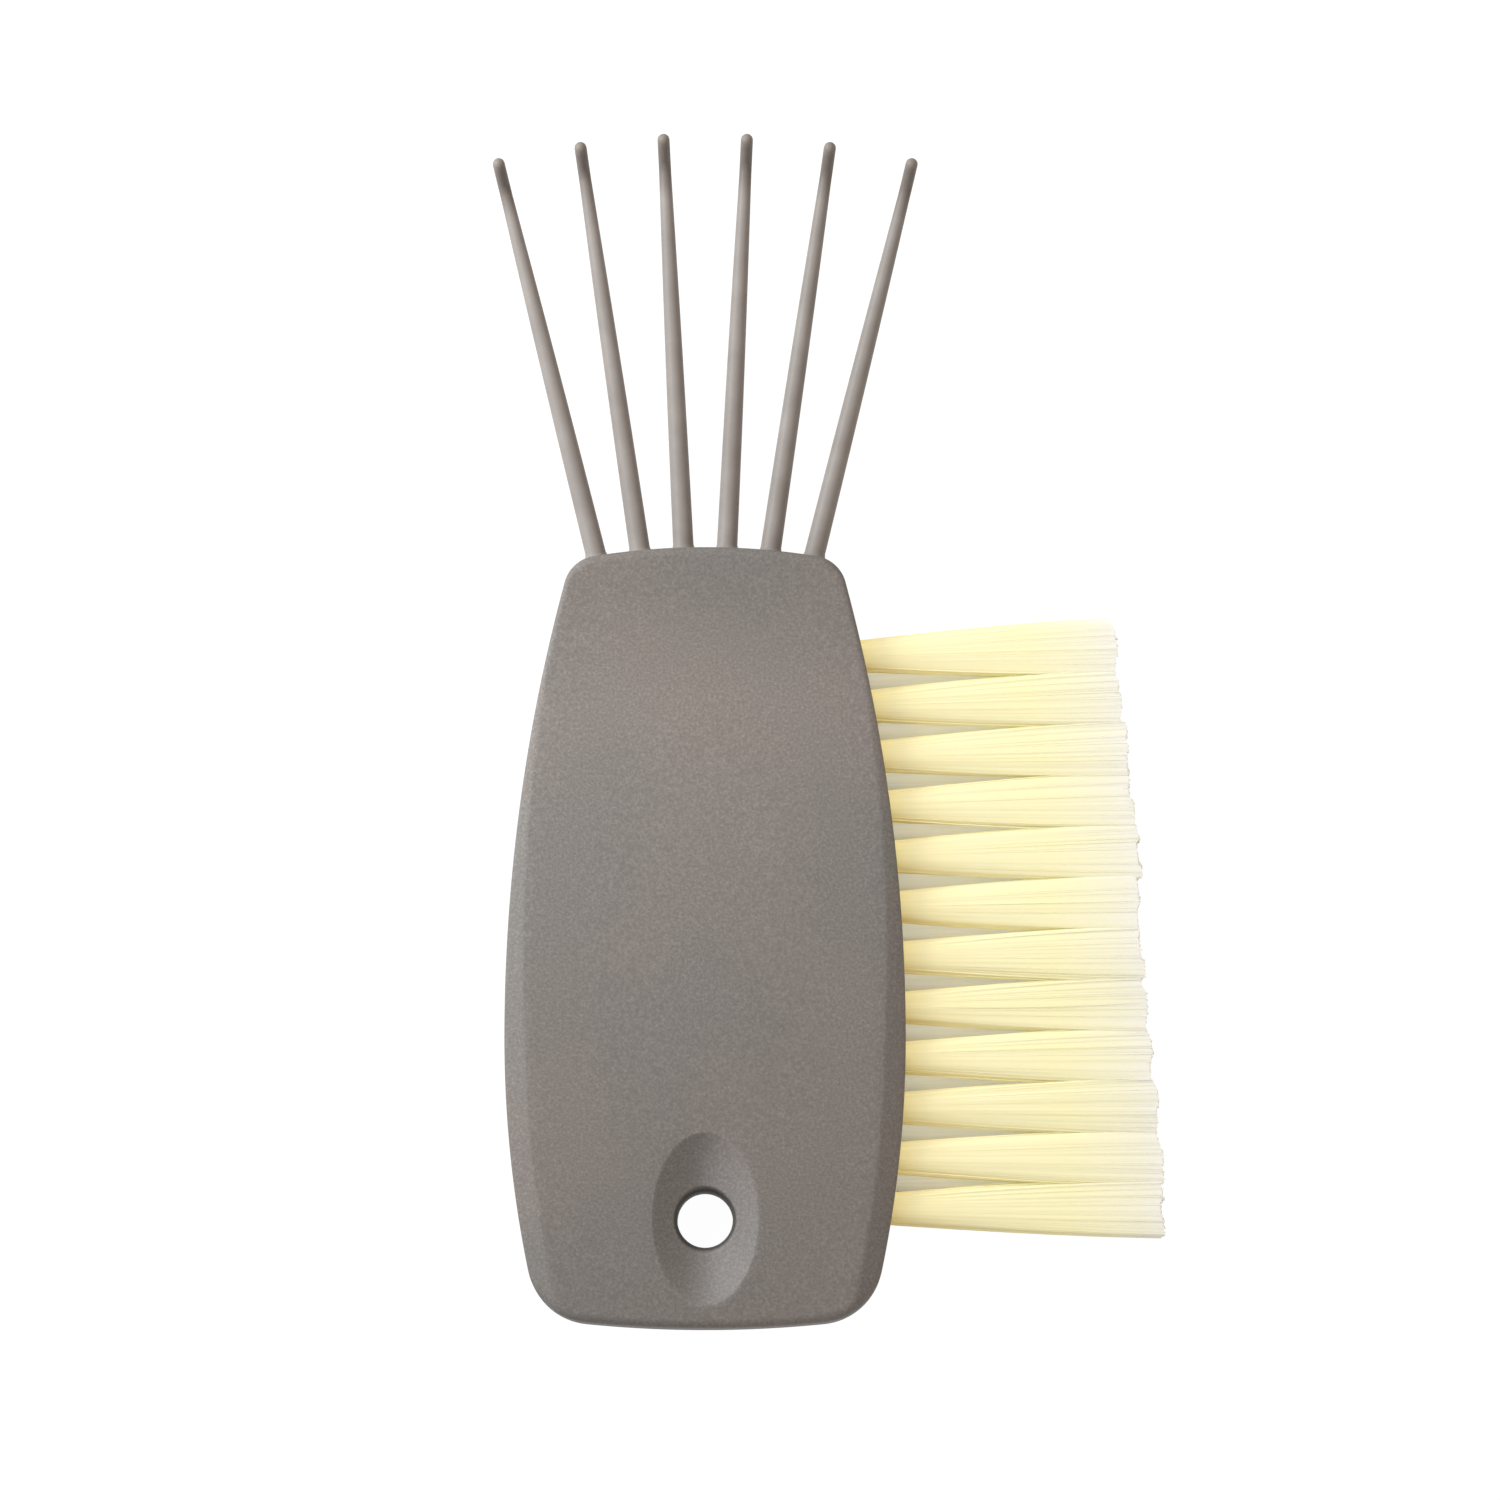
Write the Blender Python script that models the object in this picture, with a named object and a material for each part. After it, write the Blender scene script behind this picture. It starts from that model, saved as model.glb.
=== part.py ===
"""Hand rake that pulls hair out of hairbrushes.

A hollow two-part handle holds a fan of six hooked tines in its top edge and a
strip of bristle tufts along its right side. Everything is in metres, +Z up.
The tool lies on its back: the origin is the middle of the flat back, the tines
point along +Y, the bristles along +X and the moulded face looks up.
"""

import math
import random

import bmesh
import bpy
from mathutils import Matrix, Vector
from mathutils.geometry import delaunay_2d_cdt

# Handle outline, seen from the front
HANDLE_LENGTH = 0.0818
HANDLE_WIDTH = 0.0420
WIDEST_BELOW_MIDDLE = 0.0105
UPPER_SIDE_RADIUS = 0.184
LOWER_SIDE_RADIUS = 0.120
TOP_EDGE_RADIUS = 0.073
BOTTOM_EDGE_RADIUS = 0.125
TOP_CORNER_RADIUS = 0.0037
BOTTOM_CORNER_RADIUS = 0.0068

# Handle section
HANDLE_THICKNESS = 0.0130
SHELL_WALL = 0.0020
FACE_DOME = 0.0004
DOME_SCALES = (0.85, 0.6, 0.3)
SIDE_BEVEL_WIDTH = 0.0016
SIDE_BEVEL_STARTS = 0.0015
SIDE_BEVEL_FULL = 0.0369
EDGE_BREAK_WIDTH = 0.0005
EDGE_BREAK_DROP = 0.0004
BACK_EDGE_RADIUS = 0.0016
FIT = 0.0003

# Hanging hole and the scooped recess around it
HOLE_FROM_BOTTOM = 0.0114
HOLE_DIAMETER = 0.0059
HOLE_RIM_DIAMETER = 0.0069
HOLE_TUBE_WALL = 0.0019
RECESS_WIDTH = 0.0111
RECESS_LENGTH = 0.0181
RECESS_SLOPE = 0.62
RECESS_KEEL = 0.0015
RECESS_FLOOR_WALL = 0.0009
BACK_COUNTERSINK = 0.0008

# Pins that line the two shells up, by their distance below the handle's top
LEFT_PINS_BELOW_TOP = (0.0209, 0.0469, 0.0679)
RIGHT_PINS_BELOW_TOP = (0.0249, 0.0509)
PIN_CLEAR_OF_WALL = 0.0013
PIN_DIAMETER = 0.0022
PIN_LENGTH = 0.0019
PIN_BOSS_DIAMETER = 0.0046

# Rake
TINE_COUNT = 6
TINE_FAN_STEP = math.radians(5.6)
FAN_CENTRE_BELOW_TOP = 0.0465
TINE_LENGTH = 0.0437
TINE_ROOT_DIAMETER = 0.0021
TINE_TIP_DIAMETER = 0.0012
TINE_HOOK_RADIUS = 0.0022
TINE_HOOK_TURN = math.radians(52)
TINE_HOOK_END = 0.0026
TINE_SET_IN_BAR = 0.0025
BAR_THICKNESS = 0.0040
BAR_ABOVE_WINDOW = 0.0011
PEG_ABOVE_BAR_EDGE = 0.00215
PEG_OFF_CENTRE = 0.0090
PEG_DIAMETER = 0.0020
PEG_SEAT_DIAMETER = 0.0046
PEG_INTO_FRONT = 0.0009

# Window in the right side, and the bristle block in it
WINDOW_BELOW_TOP = 0.0083
WINDOW_ABOVE_BOTTOM = 0.00965
BLOCK_RECESS = 0.0004
BLOCK_DEPTH = 0.0075
BLOCK_FLANGE = 0.0011
BACKING_RIB = 0.0012
BACKING_RIB_END = 0.0020

# Bristles
TUFT_PITCH = 0.00527
TUFT_END_MARGIN = 0.0029
ROW_SPACING = 0.0035
ROW_TILT = math.radians(1.5)
FAN_AT_TOP = math.radians(2.0)
FAN_AT_BOTTOM = math.radians(-0.1)
TRIM_BEYOND_SIDE_TOP = 0.0222
TRIM_BEYOND_SIDE_BOTTOM = 0.0274
TRIM_UNEVENNESS = 0.0003
TUFT_HOLE_DIAMETER = 0.0034
TUFT_HOLE_DEPTH = 0.0052
TUFT_HOLE_EDGE = 0.00055
TUFT_GAP_AT_TIPS = 0.00045
STRAND_RINGS = (1, 6, 12)
STRAND_SPREAD = 0.92
STRAND_ROOT_RADIUS = 0.00021
STRAND_TIP_RADIUS = 0.00024
ANCHOR_THICKNESS = 0.00035
ANCHOR_DEPTH = 0.0015
ANCHOR_BITE = 0.0002

# How finely round shapes are cut into flats
SIDE_END_STEPS = 2
UPPER_WINDOW_STEPS = 9
LOWER_WINDOW_STEPS = 5
STRIP_STEPS = 12
CORNER_STEPS = 5
END_STEPS = 8
ROUND_SIDES = 16
RECESS_SIDES = 28
RECESS_STEPS = 5
TUFT_HOLE_SIDES = 12
TINE_SIDES = 10

# Levels and lines that follow from the sizes above
HALF_WIDTH = HANDLE_WIDTH / 2
TOP_Y = HANDLE_LENGTH / 2
WIDEST_Y = -WIDEST_BELOW_MIDDLE
WINDOW_TOP_Y = TOP_Y - WINDOW_BELOW_TOP
WINDOW_BOTTOM_Y = WINDOW_ABOVE_BOTTOM - TOP_Y
HOLE_Y = HOLE_FROM_BOTTOM - TOP_Y
BLOCK_HEIGHT = ROW_SPACING + TUFT_HOLE_DIAMETER + 2 * TUFT_HOLE_EDGE
FACE_WALL = (HANDLE_THICKNESS - BLOCK_HEIGHT) / 2 - FIT
MIDDLE_Z = HANDLE_THICKNESS / 2
CEILING_Z = HANDLE_THICKNESS - FACE_WALL
FACE_EDGE_Z = HANDLE_THICKNESS - FACE_DOME
BACK_RIM_Z = MIDDLE_Z - FIT / 2
FRONT_RIM_Z = MIDDLE_Z + FIT / 2
BAR_EDGE_Y = WINDOW_TOP_Y + BAR_ABOVE_WINDOW
PEG_Y = BAR_EDGE_Y + PEG_ABOVE_BAR_EDGE
FAN_CENTRE = Vector((0, TOP_Y - FAN_CENTRE_BELOW_TOP, MIDDLE_Z))
HOLE_RADIUS = HOLE_DIAMETER / 2
HOLE_TUBE_RADIUS = HOLE_RADIUS + HOLE_TUBE_WALL
TUFT_HOLE_RADIUS = TUFT_HOLE_DIAMETER / 2
TUFT_RADIUS = TUFT_HOLE_RADIUS - FIT
ANCHOR_WIDTH = TUFT_HOLE_DIAMETER + 2 * ANCHOR_BITE
BACKING_INSET = BLOCK_RECESS + BLOCK_DEPTH + FIT
OVERLAP = 0.0005


def clear_scene():
    for thing in list(bpy.data.objects):
        bpy.data.objects.remove(thing, do_unlink=True)


def make_material(name, colour, roughness, metallic=0.0):
    material = bpy.data.materials.new(name)
    material.use_nodes = True
    shader = material.node_tree.nodes["Principled BSDF"]
    shader.inputs["Base Color"].default_value = (*colour, 1)
    shader.inputs["Roughness"].default_value = roughness
    shader.inputs["Metallic"].default_value = metallic
    return material


def make_object(name, shape, material=None, place=None):
    """Turn a bmesh into an object, with its faces pointing out and its round sides smooth."""
    bmesh.ops.recalc_face_normals(shape, faces=shape.faces)
    mesh = bpy.data.meshes.new(name)
    shape.to_mesh(mesh)
    shape.free()
    mesh.shade_smooth()
    mesh.set_sharp_from_angle(angle=math.radians(35))
    made = bpy.data.objects.new(name, mesh)
    bpy.context.scene.collection.objects.link(made)
    if material:
        mesh.materials.append(material)
    if place:
        made.matrix_world = place
    return made


def combine(body, operation, tool_name, tool_shape):
    """Join a shape to a body, or cut it out, and keep the shape as a wire guide."""
    tool = make_object(tool_name, tool_shape)
    tool.hide_render = True
    tool.display_type = "WIRE"
    step = body.modifiers.new(tool_name, "BOOLEAN")
    step.operation = operation
    step.solver = "EXACT"
    step.object = tool


def add_ring(shape, points):
    return [shape.verts.new(point) for point in points]


def join_rings(shape, ring_a, ring_b):
    for i in range(len(ring_a)):
        j = (i + 1) % len(ring_a)
        shape.faces.new((ring_a[i], ring_a[j], ring_b[j], ring_b[i]))


def add_loft(shape, sections):
    """Skin a stack of rings and close both ends."""
    rings = [add_ring(shape, section) for section in sections]
    for ring_a, ring_b in zip(rings, rings[1:]):
        join_rings(shape, ring_a, ring_b)
    shape.faces.new(rings[0])
    shape.faces.new(rings[-1])


def oval(x, y, z, radius_x, radius_y, sides):
    turn = 2 * math.pi / sides
    return [
        Vector((x + radius_x * math.cos(i * turn), y + radius_y * math.sin(i * turn), z))
        for i in range(sides)
    ]


def add_post(shape, x, y, diameter, bottom, top):
    """Upright round post, or the cutter for a hole of that size."""
    add_loft(shape, [oval(x, y, z, diameter / 2, diameter / 2, ROUND_SIDES) for z in (bottom, top)])


def add_prism(shape, outline, bottom, top):
    add_loft(shape, [[(x, y, z) for x, y in outline] for z in (bottom, top)])


# Handle outline: arcs that run tangent into each other


def corner_centre(centre_a, radius_a, centre_b, radius_b, corner_radius):
    """Centre of a corner arc that touches two larger arcs from inside, on the right-hand side."""
    reach_a = radius_a - corner_radius
    reach_b = radius_b - corner_radius
    apart = centre_b - centre_a
    along = (apart.length_squared + reach_a**2 - reach_b**2) / (2 * apart.length)
    across = math.sqrt(reach_a**2 - along**2)
    direction = apart.normalized()
    sideways = Vector((-direction.y, direction.x))
    choices = [centre_a + direction * along + sideways * across * sign for sign in (1, -1)]
    return max(choices, key=lambda centre: centre.x)


def angle_from(centre, point):
    return math.atan2(point.y - centre.y, point.x - centre.x)


UPPER_SIDE_CENTRE = Vector((HALF_WIDTH - UPPER_SIDE_RADIUS, WIDEST_Y))
LOWER_SIDE_CENTRE = Vector((HALF_WIDTH - LOWER_SIDE_RADIUS, WIDEST_Y))


def side_arc(y):
    """Centre and radius of the side's arc at this height."""
    if y > WIDEST_Y:
        return UPPER_SIDE_CENTRE, UPPER_SIDE_RADIUS
    return LOWER_SIDE_CENTRE, LOWER_SIDE_RADIUS


def side_x(y, inset=0.0):
    """How far the right side stands from the centre line, inset square to the side."""
    centre, radius = side_arc(y)
    return centre.x + math.sqrt((radius - inset) ** 2 - (y - centre.y) ** 2)


def side_angle(y):
    centre, radius = side_arc(y)
    return math.asin((y - centre.y) / radius)


def side_place(y, inset):
    """Place a distance inside the right side, square to it at this height."""
    centre, radius = side_arc(y)
    angle = side_angle(y)
    reach = radius - inset
    return (centre.x + reach * math.cos(angle), centre.y + reach * math.sin(angle))


def side_run(top, bottom, inset):
    """Run of places down the right side, all the same distance inside it."""
    return [side_place(top + (bottom - top) * i / STRIP_STEPS, inset) for i in range(STRIP_STEPS + 1)]


def bevel_share(y):
    """The side bevel grows from nothing near the top to its full width."""
    below_top = TOP_Y - y
    grown = (below_top - SIDE_BEVEL_STARTS) / (SIDE_BEVEL_FULL - SIDE_BEVEL_STARTS)
    return math.sqrt(min(max(grown, 0.0), 1.0))


def handle_outline():
    """Points round the handle as (place, outward direction, share of the side bevel, window side)."""
    top_centre = Vector((0, TOP_Y - TOP_EDGE_RADIUS))
    bottom_centre = Vector((0, BOTTOM_EDGE_RADIUS - TOP_Y))
    top_corner = corner_centre(
        top_centre, TOP_EDGE_RADIUS, UPPER_SIDE_CENTRE, UPPER_SIDE_RADIUS, TOP_CORNER_RADIUS
    )
    bottom_corner = corner_centre(
        LOWER_SIDE_CENTRE, LOWER_SIDE_RADIUS, bottom_centre, BOTTOM_EDGE_RADIUS, BOTTOM_CORNER_RADIUS
    )
    quarter = math.pi / 2
    top_meets = angle_from(top_centre, top_corner)
    upper_meets = angle_from(UPPER_SIDE_CENTRE, top_corner)
    lower_meets = angle_from(LOWER_SIDE_CENTRE, bottom_corner)
    bottom_meets = angle_from(bottom_centre, bottom_corner)
    window_top = side_angle(WINDOW_TOP_Y)
    window_bottom = side_angle(WINDOW_BOTTOM_Y)
    arcs = (
        (top_centre, TOP_EDGE_RADIUS, quarter, top_meets, END_STEPS, False),
        (top_corner, TOP_CORNER_RADIUS, top_meets, upper_meets, CORNER_STEPS, False),
        (UPPER_SIDE_CENTRE, UPPER_SIDE_RADIUS, upper_meets, window_top, SIDE_END_STEPS, False),
        (UPPER_SIDE_CENTRE, UPPER_SIDE_RADIUS, window_top, 0, UPPER_WINDOW_STEPS, True),
        (LOWER_SIDE_CENTRE, LOWER_SIDE_RADIUS, 0, window_bottom, LOWER_WINDOW_STEPS, True),
        (LOWER_SIDE_CENTRE, LOWER_SIDE_RADIUS, window_bottom, lower_meets, SIDE_END_STEPS, False),
        (bottom_corner, BOTTOM_CORNER_RADIUS, lower_meets, bottom_meets, CORNER_STEPS, False),
        (bottom_centre, BOTTOM_EDGE_RADIUS, bottom_meets, -quarter, END_STEPS, False),
    )
    right = []
    for centre, radius, start, end, steps, window in arcs:
        for i in range(steps):
            angle = start + (end - start) * i / steps
            outward = Vector((math.cos(angle), math.sin(angle)))
            place = centre + outward * radius
            share = bevel_share(place.y)
            if centre is bottom_corner:
                share *= 1 - i / steps
            if centre is bottom_centre:
                share = 0.0
            right.append((place, outward, share, window))
    left = [
        (Vector((-place.x, place.y)), Vector((-outward.x, outward.y)), share, False)
        for place, outward, share, window in reversed(right[1:])
    ]
    bottom = (Vector((0, -TOP_Y)), Vector((0, -1)), 0.0, False)
    return right + [bottom] + left


OUTLINE = handle_outline()


def ring_at(inset, z):
    """Outline ring moved in by one distance, at one level."""
    return [(*(place - outward * inset), z) for place, outward, share, window in OUTLINE]


# Handle shells


def shell_shape(rim_z, inner_z, face_rings):
    """Open tray: one wall with the window in its right side, and the face that closes it."""
    shape = bmesh.new()
    rim_out = add_ring(shape, ring_at(0, rim_z))
    rim_in = add_ring(shape, ring_at(SHELL_WALL, rim_z))
    floor_out = add_ring(shape, ring_at(0, inner_z))
    floor_in = add_ring(shape, ring_at(SHELL_WALL, inner_z))
    shape.faces.new(floor_in)
    count = len(OUTLINE)
    in_window = [point[3] for point in OUTLINE]
    for i in range(count):
        j = (i + 1) % count
        if in_window[i]:
            shape.faces.new((floor_out[i], floor_out[j], floor_in[j], floor_in[i]))
        else:
            shape.faces.new((rim_out[i], rim_out[j], floor_out[j], floor_out[i]))
            shape.faces.new((rim_in[i], rim_in[j], rim_out[j], rim_out[i]))
            shape.faces.new((floor_in[i], floor_in[j], rim_in[j], rim_in[i]))
        if in_window[i] != in_window[i - 1]:
            shape.faces.new((rim_out[i], rim_in[i], floor_in[i], floor_out[i]))
    rings = [floor_out] + [add_ring(shape, ring) for ring in face_rings]
    for ring_a, ring_b in zip(rings, rings[1:]):
        join_rings(shape, ring_a, ring_b)
    shape.faces.new(rings[-1])
    loose = [vert for vert in shape.verts if not vert.link_faces]
    bmesh.ops.delete(shape, geom=loose, context="VERTS")
    return shape


def front_face_rings():
    """Side bevel and low dome of the front face."""
    lip_share = 0.35
    lip_z = CEILING_Z + lip_share * (FACE_EDGE_Z - CEILING_Z)
    break_z = FACE_EDGE_Z - EDGE_BREAK_DROP
    foot = []
    edge = []
    for place, outward, share, window in OUTLINE:
        foot.append((*place, break_z + (lip_z - break_z) * share))
        inner = place - outward * (EDGE_BREAK_WIDTH + SIDE_BEVEL_WIDTH * share)
        edge.append((*inner, FACE_EDGE_Z))
    rings = [foot, edge]
    for scale in DOME_SCALES:
        rings.append([(x * scale, y * scale, z + dome_rise(scale)) for x, y, z in edge])
    return rings


def dome_rise(scale):
    """How far the dome stands over its edge, on the outline shrunk by this scale."""
    return FACE_DOME * (1 - scale**2) / (1 - DOME_SCALES[-1] ** 2)


def back_face_rings():
    """Quarter-round edge and flat back, limited by the thickness of the back."""
    radius = min(BACK_EDGE_RADIUS, 0.8 * FACE_WALL)
    steps = 3
    rings = []
    for i in range(steps + 1):
        angle = math.pi / 2 * i / steps
        rings.append(ring_at(radius * (1 - math.cos(angle)), radius * (1 - math.sin(angle))))
    return rings


def backing_rib_outline():
    """Strip of wall just behind the bristle block."""
    top = WINDOW_TOP_Y - BACKING_RIB_END
    bottom = WINDOW_BOTTOM_Y + BACKING_RIB_END
    front = side_run(top, bottom, BACKING_INSET)
    back = side_run(top, bottom, BACKING_INSET + BACKING_RIB)
    return front + back[::-1]


def pin_places():
    """Pins along the left wall and along the backing rib, clear of both."""
    off_wall = PIN_BOSS_DIAMETER / 2 + PIN_CLEAR_OF_WALL
    places = []
    for below in LEFT_PINS_BELOW_TOP:
        y = TOP_Y - below
        places.append((off_wall - side_x(y, SHELL_WALL), y))
    for below in RIGHT_PINS_BELOW_TOP:
        y = TOP_Y - below
        places.append((side_x(y, BACKING_INSET + BACKING_RIB) - off_wall, y))
    return places


def peg_places():
    return [(side * PEG_OFF_CENTRE, PEG_Y) for side in (-1, 1)]


def add_tine_notches(shape):
    """Round passages for the tines, across the top wall."""
    for i in range(TINE_COUNT):
        direction = tine_direction(i)
        start = top_edge_distance(direction)
        radius = TINE_ROOT_DIAMETER / 2 + FIT
        reach = SHELL_WALL + 2 * OVERLAP
        stations = [(start + OVERLAP - reach, radius), (start + 2 * OVERLAP, radius)]
        rings = [round_section(FAN_CENTRE + direction * at, direction, size) for at, size in stations]
        add_loft(shape, rings)


def recess_level(x, y):
    """Level of the recess: two flanks below the domed face that meet in a soft keel."""
    half_width_squared = (RECESS_WIDTH / 2) ** 2 * (1 - ((y - HOLE_Y) / (RECESS_LENGTH / 2)) ** 2)
    edge = math.sqrt(max(half_width_squared + RECESS_KEEL**2, 0.0))
    depth = RECESS_SLOPE * (edge - math.hypot(x, RECESS_KEEL))
    return FACE_EDGE_Z + dome_rise(abs(y) / TOP_Y) - depth


def recess_ring(share):
    """Ring on the recess, from the hole's rim at 0 to the recess's outline at 1."""
    rim_radius = HOLE_RIM_DIAMETER / 2
    reach_x = rim_radius + (RECESS_WIDTH / 2 - rim_radius) * share
    reach_y = rim_radius + (RECESS_LENGTH / 2 - rim_radius) * share
    ring = oval(0, HOLE_Y, 0, reach_x, reach_y, RECESS_SIDES)
    return [Vector((point.x, point.y, recess_level(point.x, point.y))) for point in ring]


def add_recess(shape):
    """Hanging hole, the short flare at its rim and the recess that it opens into."""
    beyond = 1.1
    rim = recess_ring(0)
    flare = HOLE_RIM_DIAMETER / 2 - HOLE_RADIUS
    throat = oval(0, HOLE_Y, 0, HOLE_RADIUS, HOLE_RADIUS, RECESS_SIDES)
    bottom = [(point.x, point.y, MIDDLE_Z - OVERLAP) for point in throat]
    top = [(point.x, point.y, edge.z - flare) for point, edge in zip(throat, rim)]
    rings = [recess_ring(beyond * i / RECESS_STEPS) for i in range(1, RECESS_STEPS + 1)]
    clear_of_face = [(point.x, point.y, HANDLE_THICKNESS + 2 * OVERLAP) for point in rings[-1]]
    add_loft(shape, [bottom, top, rim] + rings + [clear_of_face])


def front_bosses():
    """Posts inside the front shell, and the tube under its recess."""
    shape = bmesh.new()
    root_z = CEILING_Z + OVERLAP
    for x, y in pin_places():
        add_post(shape, x, y, PIN_BOSS_DIAMETER, FRONT_RIM_Z, root_z)
    for x, y in peg_places():
        add_post(shape, x, y, PEG_SEAT_DIAMETER, MIDDLE_Z + BAR_THICKNESS / 2 + FIT, root_z)
    rim_radius = HOLE_RIM_DIAMETER / 2
    wide_x = RECESS_WIDTH / 2 + OVERLAP
    wide_y = rim_radius + 0.75 * (RECESS_LENGTH / 2 - rim_radius)
    shoulder_z = recess_level(0, HOLE_Y - rim_radius) - RECESS_FLOOR_WALL
    levels = (
        (FRONT_RIM_Z, HOLE_TUBE_RADIUS, HOLE_TUBE_RADIUS),
        (shoulder_z, HOLE_TUBE_RADIUS, HOLE_TUBE_RADIUS),
        (CEILING_Z - OVERLAP / 2, wide_x, wide_y),
        (root_z, wide_x, wide_y),
    )
    add_loft(shape, [oval(0, HOLE_Y, z, rx, ry, RECESS_SIDES) for z, rx, ry in levels])
    add_prism(shape, backing_rib_outline(), FRONT_RIM_Z, root_z)
    return shape


def front_cuts():
    """Sockets, tine notches, hanging hole and scooped recess of the front shell."""
    shape = bmesh.new()
    for x, y in pin_places():
        add_post(shape, x, y, PIN_DIAMETER + 2 * FIT, MIDDLE_Z - OVERLAP, FRONT_RIM_Z + PIN_LENGTH)
    for x, y in peg_places():
        socket_top = MIDDLE_Z + BAR_THICKNESS / 2 + FIT + PEG_INTO_FRONT + FIT
        add_post(shape, x, y, PEG_DIAMETER + 2 * FIT, MIDDLE_Z, socket_top)
    add_tine_notches(shape)
    add_recess(shape)
    return shape


def back_bosses():
    """Pins and pegs on their posts inside the back shell, and the tube round the hole."""
    shape = bmesh.new()
    root_z = FACE_WALL - OVERLAP
    pin_levels = (root_z, BACK_RIM_Z, MIDDLE_Z + PIN_LENGTH - FIT)
    for x, y in pin_places():
        add_stepped_post(shape, x, y, PIN_BOSS_DIAMETER, PIN_DIAMETER, pin_levels)
    for x, y in peg_places():
        seat_z = MIDDLE_Z - BAR_THICKNESS / 2 - FIT
        peg_top = MIDDLE_Z + BAR_THICKNESS / 2 + FIT + PEG_INTO_FRONT
        add_stepped_post(shape, x, y, PEG_SEAT_DIAMETER, PEG_DIAMETER, (root_z, seat_z, peg_top))
    radius = HOLE_TUBE_RADIUS
    add_loft(shape, [oval(0, HOLE_Y, z, radius, radius, RECESS_SIDES) for z in (root_z, BACK_RIM_Z)])
    add_prism(shape, backing_rib_outline(), root_z, BACK_RIM_Z)
    return shape


def add_stepped_post(shape, x, y, wide, narrow, levels):
    """Wide post with a narrower pin on top of it."""
    foot_z, step_z, top_z = levels
    sections = ((foot_z, wide), (step_z, wide), (step_z, narrow), (top_z, narrow))
    add_loft(shape, [oval(x, y, z, size / 2, size / 2, ROUND_SIDES) for z, size in sections])


def back_cuts():
    """Tine notches and the countersunk hanging hole of the back shell."""
    shape = bmesh.new()
    add_tine_notches(shape)
    wide = HOLE_RADIUS + BACK_COUNTERSINK
    levels = (
        (-OVERLAP, wide + OVERLAP),
        (BACK_COUNTERSINK, HOLE_RADIUS),
        (MIDDLE_Z + OVERLAP, HOLE_RADIUS),
    )
    add_loft(shape, [oval(0, HOLE_Y, z, radius, radius, RECESS_SIDES) for z, radius in levels])
    return shape


def build_handle(material):
    front_tray = shell_shape(FRONT_RIM_Z, CEILING_Z, front_face_rings())
    front = make_object("handle_front_shell", front_tray, material)
    combine(front, "UNION", "guide_front_bosses", front_bosses())
    combine(front, "DIFFERENCE", "guide_front_cuts", front_cuts())
    back_tray = shell_shape(BACK_RIM_Z, FACE_WALL, back_face_rings())
    back = make_object("handle_back_shell", back_tray, material)
    combine(back, "UNION", "guide_back_bosses", back_bosses())
    combine(back, "DIFFERENCE", "guide_back_cuts", back_cuts())


# Rake: the hooked tines and the bar that holds them


def tine_direction(index):
    angle = (index - (TINE_COUNT - 1) / 2) * TINE_FAN_STEP
    return Vector((math.sin(angle), math.cos(angle), 0))


def top_edge_distance(direction):
    """Distance from the fan's centre to the handle's top edge, along one tine."""
    offset = Vector((0, FAN_CENTRE.y - (TOP_Y - TOP_EDGE_RADIUS)))
    along = offset.dot(direction.xy)
    return -along + math.sqrt(along**2 - offset.length_squared + TOP_EDGE_RADIUS**2)


def round_section(centre, direction, radius):
    """Ring of a tine, square to its run; every run stays upright over its own fan line."""
    level = Vector((direction.y, -direction.x, 0)).normalized()
    upright = level.cross(direction).normalized()
    turn = 2 * math.pi / TINE_SIDES
    return [
        centre + level * radius * math.cos(i * turn) + upright * radius * math.sin(i * turn)
        for i in range(TINE_SIDES)
    ]


def add_tine(shape, index):
    """Tapered round tine: straight run, bend towards the face, short straight hook, rounded end."""
    outward = tine_direction(index)
    up = Vector((0, 0, 1))
    edge = top_edge_distance(outward)
    tip_radius = TINE_TIP_DIAMETER / 2
    root_radius = TINE_ROOT_DIAMETER / 2
    bend_reach = TINE_HOOK_RADIUS * math.sin(TINE_HOOK_TURN)
    hook_reach = bend_reach + TINE_HOOK_END * math.cos(TINE_HOOK_TURN) + tip_radius
    hook_start = FAN_CENTRE_BELOW_TOP + TINE_LENGTH - hook_reach
    bar_start = edge - SHELL_WALL - FIT - TINE_SET_IN_BAR
    sections = []
    straight_steps = 4
    run = hook_start - edge
    stations = [bar_start] + [edge + run * i / straight_steps for i in range(straight_steps + 1)]
    for at in stations:
        share = max(0.0, (at - edge) / run)
        radius = root_radius + (tip_radius - root_radius) * share
        sections.append(round_section(FAN_CENTRE + outward * at, outward, radius))
    hook_steps = 5
    hook_centre = FAN_CENTRE + outward * hook_start + up * TINE_HOOK_RADIUS
    for i in range(1, hook_steps + 1):
        angle = TINE_HOOK_TURN * i / hook_steps
        heading = outward * math.cos(angle) + up * math.sin(angle)
        from_centre = outward * math.sin(angle) - up * math.cos(angle)
        centre = hook_centre + from_centre * TINE_HOOK_RADIUS
        sections.append(round_section(centre, heading, tip_radius))
    centre += heading * TINE_HOOK_END
    sections.append(round_section(centre, heading, tip_radius))
    for lift in (math.radians(40), math.radians(70)):
        end = centre + heading * tip_radius * math.sin(lift)
        sections.append(round_section(end, heading, tip_radius * math.cos(lift)))
    add_loft(shape, sections)


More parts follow.
